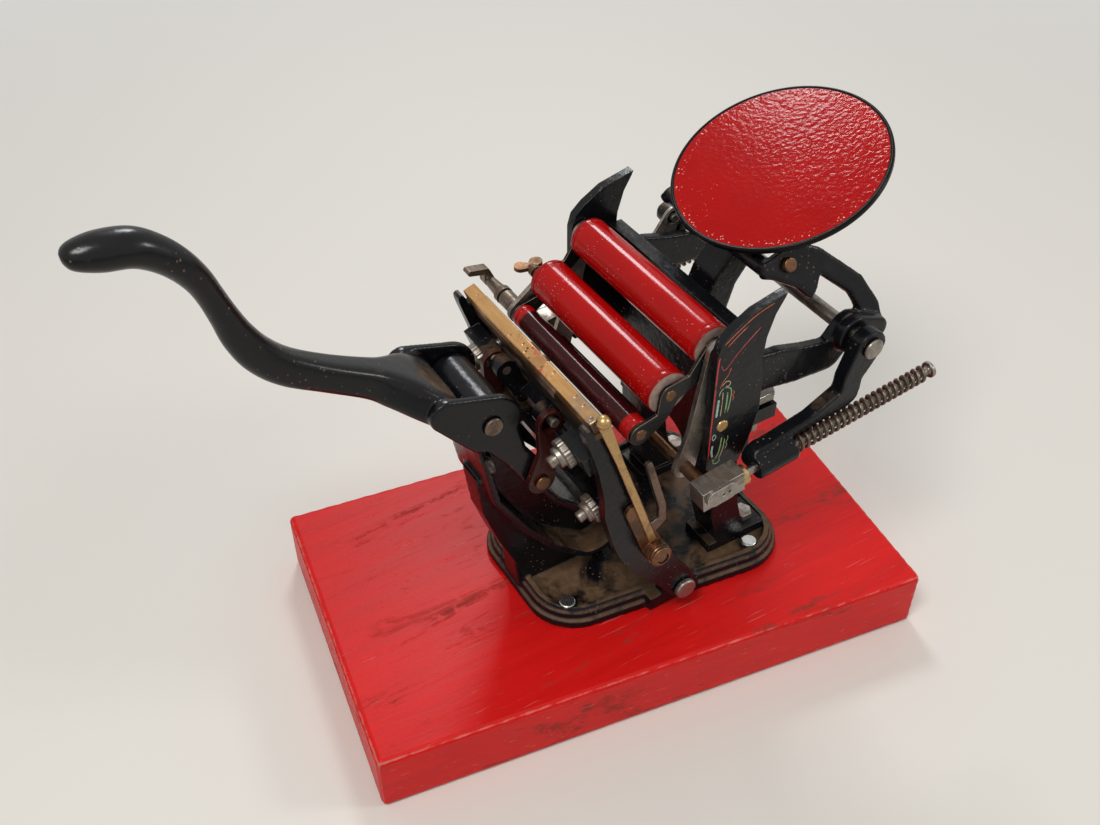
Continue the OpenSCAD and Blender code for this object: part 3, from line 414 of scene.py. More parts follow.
def boardFinish(s):
    # red paint on a board: grain and stains run along it, edges are rubbed to a pinkish white
    p = Paint("wornRedBoard")
    turn = (0, 0, s["turn"])
    along = p.moved(turn=turn)
    atEnd, atSide, atTop = (
        p.between(abs(p.part(along, axis)), half - s["edgeFrom"], half - s["edgeTo"])
        for axis, half in zip("XYZ", s["half"]))
    grain = p.noise(*s["grain"], p.moved(s["grainPull"], turn), s["grainWarp"])
    pulled = p.moved(s["streakPull"], turn)
    streak = p.patches(s["streak"], s["streakEdge"], vector=pulled, warp=s["streakWarp"])
    stain = streak * p.patches(s["stainNoise"], s["stainEdge"])
    drawn = p.moved(s["scratchPull"], (0, 0, s["turn"] + s["scratchTurn"]))
    scratch = p.patches(s["scratch"], s["scratchEdge"], vector=drawn)
    edge = atEnd * atTop + atSide * atTop + atEnd * atSide
    rubbed = p.between(edge * p.noise(*s["rubNoise"]), *s["rubEdge"])
    wood = p.between(rubbed * p.noise(*s["woodNoise"]), *s["woodEdge"])
    base = p.mix(grain, s["deep"], s["red"])
    base = p.mix(stain * 0.62, base, s["stain"])
    base = p.mix(scratch * 0.4, base, s["pale"])
    base = p.mix(rubbed * 0.6, base, s["rub"])
    base = p.mix(wood * 0.8, base, s["wood"])
    height = grain * 0.8 + p.noise(*s["fine"]) * 0.12 - scratch * 0.5 - rubbed * 0.4
    return p.finish({
        "Base Color": base, "Roughness": s["rough"] + stain * 0.3 + rubbed * 0.3 + grain * 0.1,
        "Normal": p.bump(height, s["depth"], s["relief"]), "Specular IOR Level": s["gloss"],
    })


discRed = {
    "tilt": 23, "centre": (0.100, 0, 0.2588), "deep": tone(148, 4, 4), "red": tone(174, 7, 6),
    "fleck": tone(240, 190, 180), "rim": tone(16, 14, 14), "rimEdge": (0.05325, 0.05355),
    "underEdge": (-0.0012, -0.0016), "ringFrom": (0.0480, 0.0518), "ringTo": (0.0524, 0.0532),
    "fleckScale": 620, "fleckEdge": (0.3, 0.16), "fleckNoise": (160, 2, 0.5),
    "fleckPatch": (0.42, 0.56), "strewScale": 430, "strewEdge": (0.11, 0.05),
    "strewNoise": (26, 3, 0.6), "strewPatch": (0.5, 0.68), "peel": (380, 1.5, 0.45),
    "peelWarp": 0.4, "peelAlong": (-0.05, 0.04), "finePeel": (500, 2, 0.5),
    "cloud": (30, 3, 0.5), "smear": (90, 3),
    "rough": 0.1, "gloss": 0.1, "depth": 0.0008, "relief": 0.34,
}


def discFinish(s):
    # sprayed red with orange peel, pale flecks in a ring near the edge, and a black rim
    p = Paint("inkDiscRed")
    flat = p.moved(turn=(0, -s["tilt"], 0), centre=s["centre"], kind="TEXTURE")
    x, y, z = (p.part(flat, axis) for axis in "XYZ")
    reach = p.length(p.add("ShaderNodeCombineXYZ", None, {"X": x, "Y": y}))
    ring = p.between(reach, *s["ringFrom"]) * (1 - p.between(reach, *s["ringTo"]))
    fleckPatch = p.patches(s["fleckNoise"], s["fleckPatch"], vector=flat)
    fleck = p.dots(s["fleckScale"], s["fleckEdge"], flat) * ring * fleckPatch
    strewPatch = p.patches(s["strewNoise"], s["strewPatch"], vector=flat)
    strew = p.dots(s["strewScale"], s["strewEdge"], flat) * strewPatch
    peel = p.noise(*s["peel"], flat, s["peelWarp"]) * p.between(x, *s["peelAlong"])
    peel = peel + p.noise(*s["finePeel"], flat) * 0.25
    dark = p.larger(p.between(reach, *s["rimEdge"]), p.between(z, *s["underEdge"]))
    base = p.mix(p.noise(*s["cloud"], flat), s["deep"], s["red"])
    base = p.mix(p.larger(fleck, strew * 0.7), base, s["fleck"])
    base = p.mix(dark, base, s["rim"])
    return p.finish({
        "Base Color": base, "Roughness": s["rough"] + p.noise(*s["smear"]) * 0.08 + dark * 0.12,
        "Normal": p.bump(peel * (1 - dark), s["depth"], s["relief"]),
        "Specular IOR Level": s["gloss"],
    })


# the pale fleck colour, spread in streaks along the roller's axis, is a painted highlight
redRubber = {
    "deep": tone(146, 5, 5), "red": tone(178, 9, 8), "fleck": tone(246, 150, 140),
    "band": tone(140, 12, 12), "cap": tone(190, 180, 168), "capDirt": tone(96, 82, 70),
    "dirt": (260, 3), "bandFrom": 0.0505, "bandStep": 0.0022, "capFrom": 0.05385, "capStep": 0.0002,
    "highlightFleckShare": 0.8, "fleckScale": 900, "highlightStreakPull": (1, 0.35, 1), "fleckEdge": (0.2, 0.08),
    "fleckNoise": (60, 3), "fleckPatch": (0.45, 0.62),
    "swell": (55, 3, 0.5), "swellPull": (1, 0.4, 1), "fine": (600, 2),
    "rough": 0.1, "gloss": 0.17, "depth": 0.0004, "relief": 0.4,
}
maroonRubber = {
    "deep": tone(36, 8, 10), "red": tone(66, 12, 16), "band": tone(176, 18, 18),
    "cap": tone(80, 66, 56), "bandFrom": 0.046, "highlightFleckShare": 0.3,
}


def rollerFinish(name, s):
    # glossy composition rubber: pale flecks stretched along the axis as painted highlight streaks,
    # another band at each end, dirty caps on the end faces
    p = Paint(name)
    out = abs(p.part(p.place(), "Y"))
    end = p.between(out, s["bandFrom"], s["bandFrom"] + s["bandStep"])
    cap = p.between(out, s["capFrom"], s["capFrom"] + s["capStep"])
    # pale pink flecks stretched along the roller's axis: painted highlight streaks
    fleck = p.dots(s["fleckScale"], s["fleckEdge"], p.moved(s["highlightStreakPull"]))
    fleck = fleck * p.patches(s["fleckNoise"], s["fleckPatch"])
    swell = p.noise(*s["swell"], p.moved(s["swellPull"]))
    base = p.mix(swell, s["deep"], s["red"])
    base = p.mix(fleck * s["highlightFleckShare"], base, s["fleck"])
    base = p.mix(end * 0.85, base, s["band"])
    base = p.mix(cap, base, p.mix(p.noise(*s["dirt"]), s["cap"], s["capDirt"]))
    height = swell * 0.5 + p.noise(*s["fine"]) * 0.12
    return p.finish({
        "Base Color": base, "Roughness": s["rough"] + swell * 0.09 + cap * 0.4,
        "Normal": p.bump(height, s["depth"], s["relief"]), "Specular IOR Level": s["gloss"],
    })


finishes = {look: japanFinish(name, {**japan, **s}) for look, (name, s) in japans.items()}
for metal, settings in metals.items():
    finishes[metal] = metalFinish(metal + "Worn", {**wornMetal, **settings})
finishes["bar"] = barFinish(barBrass)
finishes["board"] = boardFinish(boardRed)
finishes["disc"] = discFinish(discRed)
finishes["red"] = rollerFinish("rollerRed", redRubber)
finishes["rider"] = rollerFinish("riderMaroon", {**redRubber, **maroonRubber})
print("finishes mixed")

# doubles merge within so many metres; flat and bevelFrom are angles in degrees between two faces
meshing = {"merge": 2e-6, "flat": 0.8, "bevelFrom": 38, "relax": 0.5}


def makePiece(name, points, faces, finish, body, sharp):
    # points in mm and faces as whole arrays become one piece that rides on its body
    mesh = bpy.data.meshes.new(name)
    mesh.from_pydata((np.asarray(points) * mm).tolist(), [], np.asarray(faces).tolist())
    return dressMesh(name, mesh, [finish], body, sharp)


def dressMesh(name, mesh, finishList, body, sharp, flatten=False):
    # merges doubles, turns faces outwards and shades smooth between sharp edges
    loose = bmesh.new()
    loose.from_mesh(mesh)
    bmesh.ops.remove_doubles(loose, verts=loose.verts, dist=meshing["merge"])
    if flatten:
        limit = math.radians(meshing["flat"])
        bmesh.ops.dissolve_limit(loose, angle_limit=limit, verts=loose.verts, edges=loose.edges)
    else:
        bmesh.ops.recalc_face_normals(loose, faces=loose.faces)
    loose.to_mesh(mesh)
    loose.free()
    if "custom_normal" in mesh.attributes:
        mesh.attributes.remove(mesh.attributes["custom_normal"])
    mesh.materials.clear()
    for finish in finishList:
        mesh.materials.append(finish)
    mesh.polygons.foreach_set("material_index", np.zeros(len(mesh.polygons), dtype=np.int32))
    mesh.shade_smooth()
    mesh.set_sharp_from_angle(angle=math.radians(sharp))
    piece = bpy.data.objects.new(name, mesh)
    bpy.context.scene.collection.objects.link(piece)
    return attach(piece, body)


def joinParts(name, parts, finish, body, *nodes, sharp=40):
    # several surfaces in one piece: each one's faces count on from the points before it
    starts = np.cumsum([0] + [len(points) for points, _ in parts])
    faces = [np.asarray(f) + start for (_, f), start in zip(parts, starts)]
    points = np.vstack([points for points, _ in parts])
    piece = makePiece(name, points, np.vstack(faces), finish, body, sharp)
    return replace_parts(piece, *nodes) if nodes else piece


def gridFaces(rows, columns, wrap=True):
    # quads of a grid whose rows follow the path and whose columns go round it
    across = columns if wrap else columns - 1
    r, c = np.meshgrid(np.arange(rows - 1), np.arange(across), indexing="ij")
    a, b = r * columns + c, r * columns + (c + 1) % columns
    return np.stack([a, b, b + columns, a + columns], -1).reshape(-1, 4)


def turned(profile, centre, axis=(0, 1, 0), sides=64, ripple=None):
    # [radius, place] points turned about an axis; ripple scales the radius by angle and place
    profile = np.asarray(profile, float)
    axis = np.asarray(axis, float) / np.linalg.norm(axis)
    across = np.array([0, 1.0, 0]) if abs(axis[1]) < 0.7 else np.array([1.0, 0, 0])
    across = across - axis * across.dot(axis)
    across /= np.linalg.norm(across)
    other = np.cross(axis, across)
    angle = np.linspace(0, fullTurn, sides, endpoint=False)
    swell = np.ones((1, sides)) if ripple is None else ripple(angle[None, :], profile[:, 1:])
    radius = profile[:, :1] * swell
    spokes = np.cos(angle)[:, None] * across + np.sin(angle)[:, None] * other
    middle = np.asarray(centre, float) + profile[:, 1][:, None, None] * axis
    return (middle + radius[..., None] * spokes).reshape(-1, 3), gridFaces(len(profile), sides)


def rounded(corners, radius, steps=4, share=0.45):
    # a profile line whose inner corners become arcs: a quadratic curve between two cut points,
    # which lie the radius from the corner, or a share of the side's length where that is less
    corners = np.asarray(corners, float)
    t = np.linspace(0, 1, steps + 1)[:, None]
    parts = [corners[:1]]
    for before, corner, after in zip(corners[:-2], corners[1:-1], corners[2:]):
        longIn, longOut = np.linalg.norm(before - corner), np.linalg.norm(after - corner)
        cut = min(radius, share * longIn, share * longOut)
        a = corner + (before - corner) / longIn * cut
        b = corner + (after - corner) / longOut * cut
        parts.append((1 - t) ** 2 * a + 2 * t * (1 - t) * corner + t ** 2 * b)
    return np.vstack(parts + [corners[-1:]])


def smoothPath(points, steps):
    # a smooth curve through the points: cubics whose slope is half the step between neighbours
    p = np.asarray(points, float)
    padded = np.vstack([p[:1], p, p[-1:]])
    a, b, c, d = (padded[i:len(p) - 1 + i, None] for i in range(4))
    t = (np.arange(steps) / steps)[None, :, None]
    square, cube = 2 * a - 5 * b + 4 * c - d, 3 * b - a - 3 * c + d
    line = 0.5 * (2 * b + (c - a) * t + square * t ** 2 + cube * t ** 3)
    return np.vstack([line.reshape(-1, p.shape[1]), p[-1:]])


def leaned(out, high):
    # place on the open platen's lean, out from it and up it, from the rocker's shaft
    c, s = math.cos(platenLean), math.sin(platenLean)
    x, z = rockerShaft
    return np.array([x + out * c - high * s, 0.0, z + boardTop + high * c + out * s])


leanOut = leaned(1, 0) - leaned(0, 0)


def softened(node, s):
    # the node's own form with its edges rounded; the rounded strips take the edge finish, which is
    # rubbed wear and partly a painted highlight
    source = frame["nodes"][node]
    pair = [finishes[s["finish"]], finishes[s.get("edge", s["finish"])]]
    mesh, body = source.data.copy(), source["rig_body"]
    piece = dressMesh(node + "_cast", mesh, pair, body, sharp=40, flatten=True)
    bevel = piece.modifiers.new("edges", "BEVEL")
    bevel.width, bevel.segments, bevel.limit_method = s["round"] * mm, s.get("steps", 2), "ANGLE"
    bevel.angle_limit = math.radians(meshing["bevelFrom"])
    bevel.material, bevel.harden_normals, bevel.use_clamp_overlap = 1, False, True
    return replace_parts(piece, node)


board = {
    "length": 320, "width": 184, "thick": 38, "turn": -8.7, "round": 2.6, "cells": (96, 60, 16),
    "edgeLines": 7, "wear": 0.35, "wearShare": 0.4, "waves": (0.31, 0.47, 0.9, 1.3, 1.1),
}


def makeBoard(s):
    # six grids on a box; each point is drawn in to a smaller box and pushed out by the edge radius
    half = np.array([s["length"], s["width"], s["thick"]]) / 2
    edge = np.linspace(0, 1, s["edgeLines"])[1:] * 2 * s["round"]
    grids, faces, start = [], [], 0
    for axis in range(3):
        for side in (-1, 1):
            u, v = (axis + 1) % 3, (axis + 2) % 3
            lines = [np.sort(np.concatenate([
                np.linspace(-1, 1, s["cells"][k]), 1 - edge / half[k], edge / half[k] - 1,
            ])) for k in (u, v)]
            a, b = np.meshgrid(*lines, indexing="ij")
            p = np.empty(a.shape + (3,))
            p[..., axis], p[..., u], p[..., v] = side, a, b
            grids.append((p * half).reshape(-1, 3))
            faces.append(gridFaces(*a.shape, wrap=False) + start)
            start += a.size
    p = np.vstack(grids)
    inner = np.clip(p, s["round"] - half, half - s["round"])
    out = p - inner
    reach = np.linalg.norm(out, axis=1, keepdims=True)
    corner = (np.abs(out) > tiny).sum(1, keepdims=True) > 1
    x, y, z = p[:, :1], p[:, 1:2], p[:, 2:]
    a, b, c, d, e = s["waves"]
    worn = np.sin(x * a) * np.sin(y * b + z * c) + np.sin(x * d + y * e)
    p = inner + out / reach * (s["round"] - corner * s["wear"] * (1 + worn * s["wearShare"]))
    turn = math.radians(s["turn"])
    x, y, z = p.T
    alongX, alongY = math.cos(turn), math.sin(turn)
    points = np.column_stack([x * alongX - y * alongY, x * alongY + y * alongX, z + half[2]])
    red = finishes["board"]
    piece = makePiece("painted_board", points, np.vstack(faces), red, "frame", sharp=60)
    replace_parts(piece, "base_board")


makeBoard(board)
print("board made")

# along the press, height, half the thickness, half the width, and squareness of the blade's rings
lever = {
    "path": [
        [-235.5, 283.5, 2, 2, 1], [-233.5, 283.5, 4.5, 5, 1], [-229, 283, 6.4, 7, 1],
        [-221.5, 282, 7.8, 8.4, 1], [-211, 280, 7.8, 8.4, 1], [-202.5, 274.5, 7.2, 7.6, 1],
        [-195.5, 267, 6.6, 7, 1], [-190, 258, 6, 6.2, 1], [-186.5, 249, 5.7, 5.8, 1],
        [-183, 238, 6.1, 6, 1], [-179, 226, 7.2, 6.4, 0.9], [-172.5, 214, 8, 6.8, 0.8],
        [-162, 203, 8, 7.2, 0.7], [-145, 192, 7.4, 7.8, 0.6], [-127, 181.5, 7.8, 9, 0.55],
        [-118, 175.5, 8.6, 12.5, 0.5], [-109, 169.5, 9, 18, 0.42], [-101, 163.5, 8.6, 22, 0.36],
        [-96, 160, 8.2, 23, 0.34],
    ],
    "sides": 64, "steps": 8, "voxel": 0.75, "smooth": 7, "finish": "lever",
    "cup": {
        "centre": (-78, 149), "face": 24.6, "radius": 13.2, "tube": 1.7, "steps": 20, "sides": 96},
}


def leverBar(s):
    # rings of a superellipse, cos and sin raised to the squareness, stand square to the smooth path
    q = smoothPath(s["path"], s["steps"])
    way = np.gradient(q[:, :2], axis=0)
    way /= np.linalg.norm(way, axis=1, keepdims=True)
    n = s["sides"]
    w = np.linspace(0, fullTurn, n, endpoint=False)[None, :]
    square = q[:, 4:5]
    u = np.sign(np.cos(w)) * np.abs(np.cos(w)) ** square * q[:, 2:3]
    v = np.sign(np.sin(w)) * np.abs(np.sin(w)) ** square * q[:, 3:4]
    rings = [q[:, :1] - way[:, 1:2] * u, v, q[:, 1:2] + way[:, :1] * u + boardTop]
    points = np.stack(rings, -1).reshape(-1, 3)
    caps = np.vstack([points[:n].mean(0), points[-n:].mean(0)])
    total, here = len(points), np.arange(n)
    following = (here + 1) % n
    ends = [np.stack([np.full(n, total), following, here], -1),
            np.stack([np.full(n, total + 1), total - n + here, total - n + following], -1)]
    return np.vstack([points, caps]), gridFaces(len(q), n).tolist() + np.vstack(ends).tolist()


def rim(s, side):
    # a raised ring round a lobe: a small circle carried round a large one
    t = np.linspace(0, fullTurn, s["steps"] + 1)[:, None]
    profile = np.hstack([s["radius"] + s["tube"] * np.cos(t), s["tube"] * np.sin(t)])
    centre = (s["centre"][0], side * s["face"], s["centre"][1] + boardTop)
    return turned(profile, centre, sides=s["sides"])


def skinned(name, node, s, *added):
    # the node's form and any added surfaces under one fine skin, smoothed like a casting's corners
    joined = bmesh.new()
    for points, faces in added:
        mesh = bpy.data.meshes.new("addedPart")
        faceList = faces if isinstance(faces, list) else faces.tolist()
        mesh.from_pydata((points * mm).tolist(), [], faceList)
        joined.from_mesh(mesh)
    joined.from_mesh(frame["nodes"][node].data)
    bmesh.ops.remove_doubles(joined, verts=joined.verts, dist=tiny)
    whole = bpy.data.meshes.new(name)
    joined.to_mesh(whole)
    joined.free()
    finish = finishes[s["finish"]]
    piece = dressMesh(name, whole, [finish], frame["nodes"][node]["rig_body"], sharp=180)
    remesh = piece.modifiers.new("skin", "REMESH")
    remesh.mode, remesh.voxel_size, remesh.use_smooth_shade = "VOXEL", s["voxel"] * mm, True
    smooth = piece.modifiers.new("cast", "SMOOTH")
    smooth.factor, smooth.iterations = meshing["relax"], s["smooth"]
    shown = piece.evaluated_get(bpy.context.evaluated_depsgraph_get())
    piece.data = bpy.data.meshes.new_from_object(shown)
    piece.modifiers.clear()
    piece.data.materials.clear()
    piece.data.materials.append(finish)
    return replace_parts(piece, node)


skinned("cast_lever", "lever", lever, leverBar(lever), rim(lever["cup"], 1))
print("lever made")

skins = {
    "base_casting": {"finish": "dusty", "voxel": 1.0, "smooth": 5},
    "side_brackets": {"finish": "japan", "voxel": 0.8, "smooth": 14},
    "disc_bracket": {"finish": "japan", "voxel": 0.8, "smooth": 12},
    "roller_arms": {"finish": "japan", "voxel": 0.7, "smooth": 9},
}
for nodeName, look in skins.items():
    skinned(nodeName + "_skin", nodeName, look)
print("castings skinned")

# bars, shafts and small parts that keep their nodes' forms: finish, edge radius in mm and its steps
castings = {
    "bed_casting": {"finish": "japan", "edge": "edge", "round": 0.9},
    "side_rails": {"finish": "japan", "edge": "edge", "round": 0.55},
    "rocker_casting": {"finish": "japan", "edge": "edge", "round": 0.7},
    "toggle_links": {"finish": "maroon", "edge": "edge", "round": 0.6},
    # the whole ring takes the edge look: rubbed wear, and a lighter black that is a painted
    # highlight
    "column_ring": {"finish": "edge", "round": 0.1},
    "platen_plate": {"finish": "steel", "round": 0.5},
    "tympan_bar": {"finish": "bar", "round": 0.6},
    "tympan_strip": {"finish": "bronze", "round": 0.4},
    "base_screws": {"finish": "bright", "round": 1.3, "steps": 4},
    "rocker_shaft": {"finish": "steel", "round": 1.0, "steps": 3},
    "lever_shaft": {"finish": "spring", "round": 1.1, "steps": 3},
    "arm_shaft": {"finish": "steel", "round": 0.8, "steps": 3},
    "yoke_pins": {"finish": "bronze", "round": 0.7, "steps": 3},
    "bed_clamp_screw": {"finish": "steel", "edge": "bright", "round": 0.5},
    "bed_bolts": {"finish": "steel", "round": 0.5},
    "lever_pins": {"finish": "bronze", "round": 0.6, "steps": 3},
    "link_pins": {"finish": "steel", "round": 0.3},
    "rod_pin": {"finish": "steel", "round": 0.3},
    "impression_screws": {"finish": "steel", "round": 0.5},
    "gripper_fingers": {"finish": "spring", "round": 0.5},
    "gripper_arm": {"finish": "bronze", "round": 0.9, "steps": 3},
    "gripper_shaft": {"finish": "bronze", "round": 0.6, "steps": 3},
    "drive_rod": {"finish": "steel", "round": 0.4},
    "arm_crank_pin": {"finish": "steel", "round": 0.3},
    "hook_rods": {"finish": "steel", "round": 0.4},
    "hook_clevises": {"finish": "steel", "edge": "bright", "round": 1.6, "steps": 4},
    "hook_nuts": {"finish": "brass", "round": 0.6, "steps": 3},
    "lock_plates": {"finish": "steel", "edge": "bright", "round": 0.5},
    "cross_shaft": {"finish": "bronze", "round": 0.5},
    "roller_saddles": {"finish": "steel", "round": 0.5},
    "roller_hooks": {"finish": "japan", "edge": "spring", "round": 0.5},
    "upper_roller_core": {"finish": "bronze", "round": 0.4},
    "lower_roller_core": {"finish": "bronze", "round": 0.4},
    "rider_core": {"finish": "bronze", "round": 0.4},
    "wing_screw": {"finish": "bronze", "round": 0.6, "steps": 3},
    "thumb_latch": {"finish": "spring", "round": 0.6, "steps": 3},
    "disc_ratchet": {"finish": "steel", "round": 0.25},
    "disc_stud": {"finish": "steel", "round": 0.5},
}
for nodeName, look in castings.items():
    softened(nodeName, look)
print("castings dressed")

rollers = {
    "upper_roller": {
        "centre": (24, 0, 174 + boardTop), "radius": 11, "finish": "red", "body": "roller_upper"},
    "lower_roller": {
        "centre": (0, 0, 156 + boardTop), "radius": 11.5, "finish": "red", "body": "roller_lower"},
    "rider_roller": {
        "centre": (-16, 0, 138.5 + boardTop), "radius": 6.5, "finish": "rider", "body": "rider"},
}
rollerShape = {
    "half": 54, "bore": 3.1, "round": 0.9, "groove": (3, 3.2, 3.9, 4.1, 8), "deep": 0.35,
    "sides": 96,
}


def makeRoller(name, s, shape):
    # the barrel's profile: bore, end face, rounded corner, a fine groove inside each end, long side
    h, r, low = shape["half"], s["radius"], s["radius"] - shape["deep"]
    a, b, c, d, e = (h - inset for inset in shape["groove"])
    line = [[shape["bore"], h], [r, h], [r, a], [low, b], [low, c], [r, d], [r, e]]
    line += [[radius, -place] for radius, place in reversed(line)] + [[shape["bore"], h]]
    points, faces = turned(rounded(line, shape["round"]), s["centre"], sides=shape["sides"])
    piece = makePiece("barrel_" + name, points, faces, finishes[s["finish"]], s["body"], sharp=50)
    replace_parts(piece, name)


for rollerName, look in rollers.items():
    makeRoller(rollerName, look, rollerShape)

# the rim is given as insets from the radius and heights over the disc's top
disc = {
    "centre": (100, 0, 220.8 + boardTop), "tilt": 23, "radius": 55.5, "thick": 4, "hub": 9,
    "hubLong": 13, "bore": 4.02, "boreTop": -2, "sides": 160, "round": 0.5, "middle": -0.3,
    "rim": ((1.5, -4), (0, -2.8), (0, -0.6), (0.6, 0), (1.4, -0.05), (1.9, -0.35), (2.6, -0.35)),
}


def makeDisc(s):
    # flat top, a rolled black rim that stands a hair proud, and a hub below, in one profile
    a = math.radians(s["tilt"])
    axis = (-math.sin(a), 0, math.cos(a))
    bore, hub, top, foot = s["bore"], s["hub"], s["boreTop"], -s["hubLong"]
    rimLine = [[s["radius"] - inset, high] for inset, high in s["rim"]]
    line = [[bore, foot], [hub, foot], [hub, -s["thick"]], *rimLine, [0, s["middle"]]]
    outside = turned(rounded(line, s["round"]), s["centre"], axis, s["sides"])
    inside = turned([[bore, foot], [bore, top], [0, top]], s["centre"], axis, s["sides"])
    piece = joinParts("red_ink_disc", [outside, inside], finishes["disc"], "disc", sharp=50)
    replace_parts(piece, "ink_disc")


makeDisc(disc)

knobs = {
    "ys": (-42, 42), "highs": (79, 128), "back": -19, "bore": 3.1, "flange": 8, "flangeLong": 4,
    "step": 0.3, "neck": 5.5, "long": 7, "round": 0.6, "ribs": 22, "ribDeep": 0.045, "sides": 132,
}


def makeKnobs(s):
    # ribbed knobs: the flange's radius swings a little with the angle
    bore, flange, neck, long = s["bore"], s["flange"], s["neck"], s["long"]
    edge, foot = s["flangeLong"], s["flangeLong"] + s["step"]
    corners = [[bore, 0], [flange, 0], [flange, edge], [neck, foot], [neck, long], [bore, long]]
    line = rounded(corners, s["round"])

    def ribs(angle, place):
        return 1 - s["ribDeep"] * (0.5 + 0.5 * np.cos(s["ribs"] * angle)) * (place < edge)

    parts = []
    for y in s["ys"]:
        for high in s["highs"]:
            centre = leaned(s["back"], high) + (0, y, 0)
            parts.append(turned(line, centre, -leanOut, s["sides"], ribs))
    joinParts("ribbed_knobs", parts, finishes["steel"], "rocker", "impression_nuts")


makeKnobs(knobs)

railScrews = {
    "at": (25.6, 132.2 + boardTop), "shank": 1.95, "inner": 61, "seat": 65.5, "head": 3.4,
    "high": 0.7, "slot": 0.9, "slotDeep": 0.75, "slotEase": 0.15, "slotWay": (0.8, 0.6),
    "rings": 26, "sides": 72,
}


def makeRailScrews(s):
    # a low domed head whose middle strip drops by the slot's depth, on a plain shank
    atX, atZ = s["at"]
    head, shank, seat, inner = s["head"], s["shank"], s["seat"], s["inner"]
    reach = np.linspace(0, 1, s["rings"])[:, None]
    angle = np.linspace(0, fullTurn, s["sides"], endpoint=False)[None, :]
    x, z = reach * head * np.cos(angle), reach * head * np.sin(angle)
    off = np.abs(x * s["slotWay"][0] - z * s["slotWay"][1])
    slot = np.clip((s["slot"] / 2 - off) / s["slotEase"], 0, 1)
    dome = np.clip(1.15 - 0.4 * reach ** 4 - 0.75 * reach ** 24, 0, 1)
    high = s["high"] * dome - slot * s["high"] * s["slotDeep"]
    profile = [[head, seat], [shank, seat], [shank, inner], [0, inner]]
    parts = []
    for side in (-1, 1):
        top = np.stack([atX + x, side * (seat + high), atZ + z], -1).reshape(-1, 3)
        stem = turned(profile, (atX, 0, atZ), (0, side, 0), s["sides"])
        parts += [(top, gridFaces(s["rings"], s["sides"])), stem]
    joinParts("slotted_screws", parts, finishes["brass"], "frame", "rail_screws", sharp=30)


makeRailScrews(railScrews)

gripper = {
    "out": -7, "high": 52.5, "round": 0.5, "sides": 64,
    "cone": [
        [3.3, -70.4], [5.6, -70.4], [5.0, -71.8], [6.1, -72.2],
        [6.1, -73.4], [4.2, -74.6], [3.3, -74.6],
    ],
    "ball": {"out": -4.5, "high": 161, "y": -67.2, "radius": 3.5, "rings": 25, "sides": 40},
    "bale": {"finish": "brass", "round": 0.45, "steps": 3},
}


def makeGripperTrim(s):
    # a turned collar on the gripper shaft's near end, and the small ball on the bale's tip
    collar = turned(rounded(s["cone"], s["round"]), leaned(s["out"], s["high"]), sides=s["sides"])
    ball = s["ball"]
    t = np.linspace(0, np.pi, ball["rings"])[:, None]
    profile = np.hstack([ball["radius"] * np.sin(t), -ball["radius"] * np.cos(t)])
    centre = leaned(ball["out"], ball["high"]) + (0, ball["y"], 0)
    knob = turned(profile, centre, sides=ball["sides"])
    joinParts("gripper_collar", [collar], finishes["bronze"], "gripper")
    joinParts("bale_ball", [knob], finishes["brass"], "gripper")


makeGripperTrim(gripper)
softened("gripper_bale", gripper["bale"])
print("turned pieces made")

springs = {
    "from": 52.1, "long": 88.8, "coil": 3.6, "wire": 0.98, "turns": 22, "lead": 1.5, "bend": 1.05,
    "ease": (0.42, 0.63), "rod": (11, 78, 104 + boardTop), "fall": 7.5,
    "steps": 40, "sides": 12, "keep": 0.955,
}


def makeSpring(s, side):
    # wire centre: a circle of the coil's radius that climbs evenly; its ring is square to the climb
    a = math.radians(s["fall"])
    along, across = np.array([math.cos(a), 0, math.sin(a)]), np.array([0, 1.0, 0])
    over = np.array([math.sin(a), 0, -math.cos(a)])
    coil, lead, long, wire, sides = s["coil"], s["lead"], s["long"], s["wire"], s["sides"]
    rodX, rodY, rodZ = s["rod"]
    easeOver, easeUp = s["ease"]
    turn = np.linspace(0, fullTurn * s["turns"], s["turns"] * s["steps"] + 1)
    climb = np.linspace(lead + s["bend"], long - lead - s["bend"], len(turn))
    local = np.column_stack([coil * np.cos(turn), coil * np.sin(turn), climb])
    first = np.array([[coil, 0, 0], [coil, 0, lead], [coil, easeOver, lead + easeUp]])
    last = np.array([
        [coil, -easeOver, long - lead - easeUp], [coil, 0, long - lead], [coil, 0, long]])
    line = np.vstack([first, local[1:-1], last])
    way = np.gradient(line, axis=0)
    way /= np.linalg.norm(way, axis=1, keepdims=True)
    out = line * (1, 1, 0)
    out = out - way * (out * way).sum(1, keepdims=True)
    out /= np.linalg.norm(out, axis=1, keepdims=True)
    third = np.cross(way, out)
    w = np.linspace(0, fullTurn, sides, endpoint=False)[None, :, None]
    ring = line[:, None] + wire * (np.cos(w) * out[:, None] + np.sin(w) * third[:, None])
    ends = [np.repeat(end[:, None], sides, 1) for end in (line[:1], line[-1:])]
    ring = np.concatenate([ends[0], ring, ends[1]])
    flat = ring.reshape(-1, 3)
    start = np.array([rodX, 0, rodZ]) + s["from"] * along
    points = start + flat[:, :1] * over + flat[:, 1:2] * across + flat[:, 2:] * along
    points[:, 1] = side * (points[:, 1] + rodY)
    name = "near_spring" if side < 0 else "far_spring"
    faces = gridFaces(len(ring), sides)
    piece = makePiece(name, points, faces, finishes["spring"], "hooks", sharp=60)
    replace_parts(piece, "hook_springs")
    anchor = (start + long * along + (0, side * rodY, 0)) * mm
    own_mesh(piece)


for springSide in (-1, 1):
    makeSpring(springs, springSide)
print("springs wound")

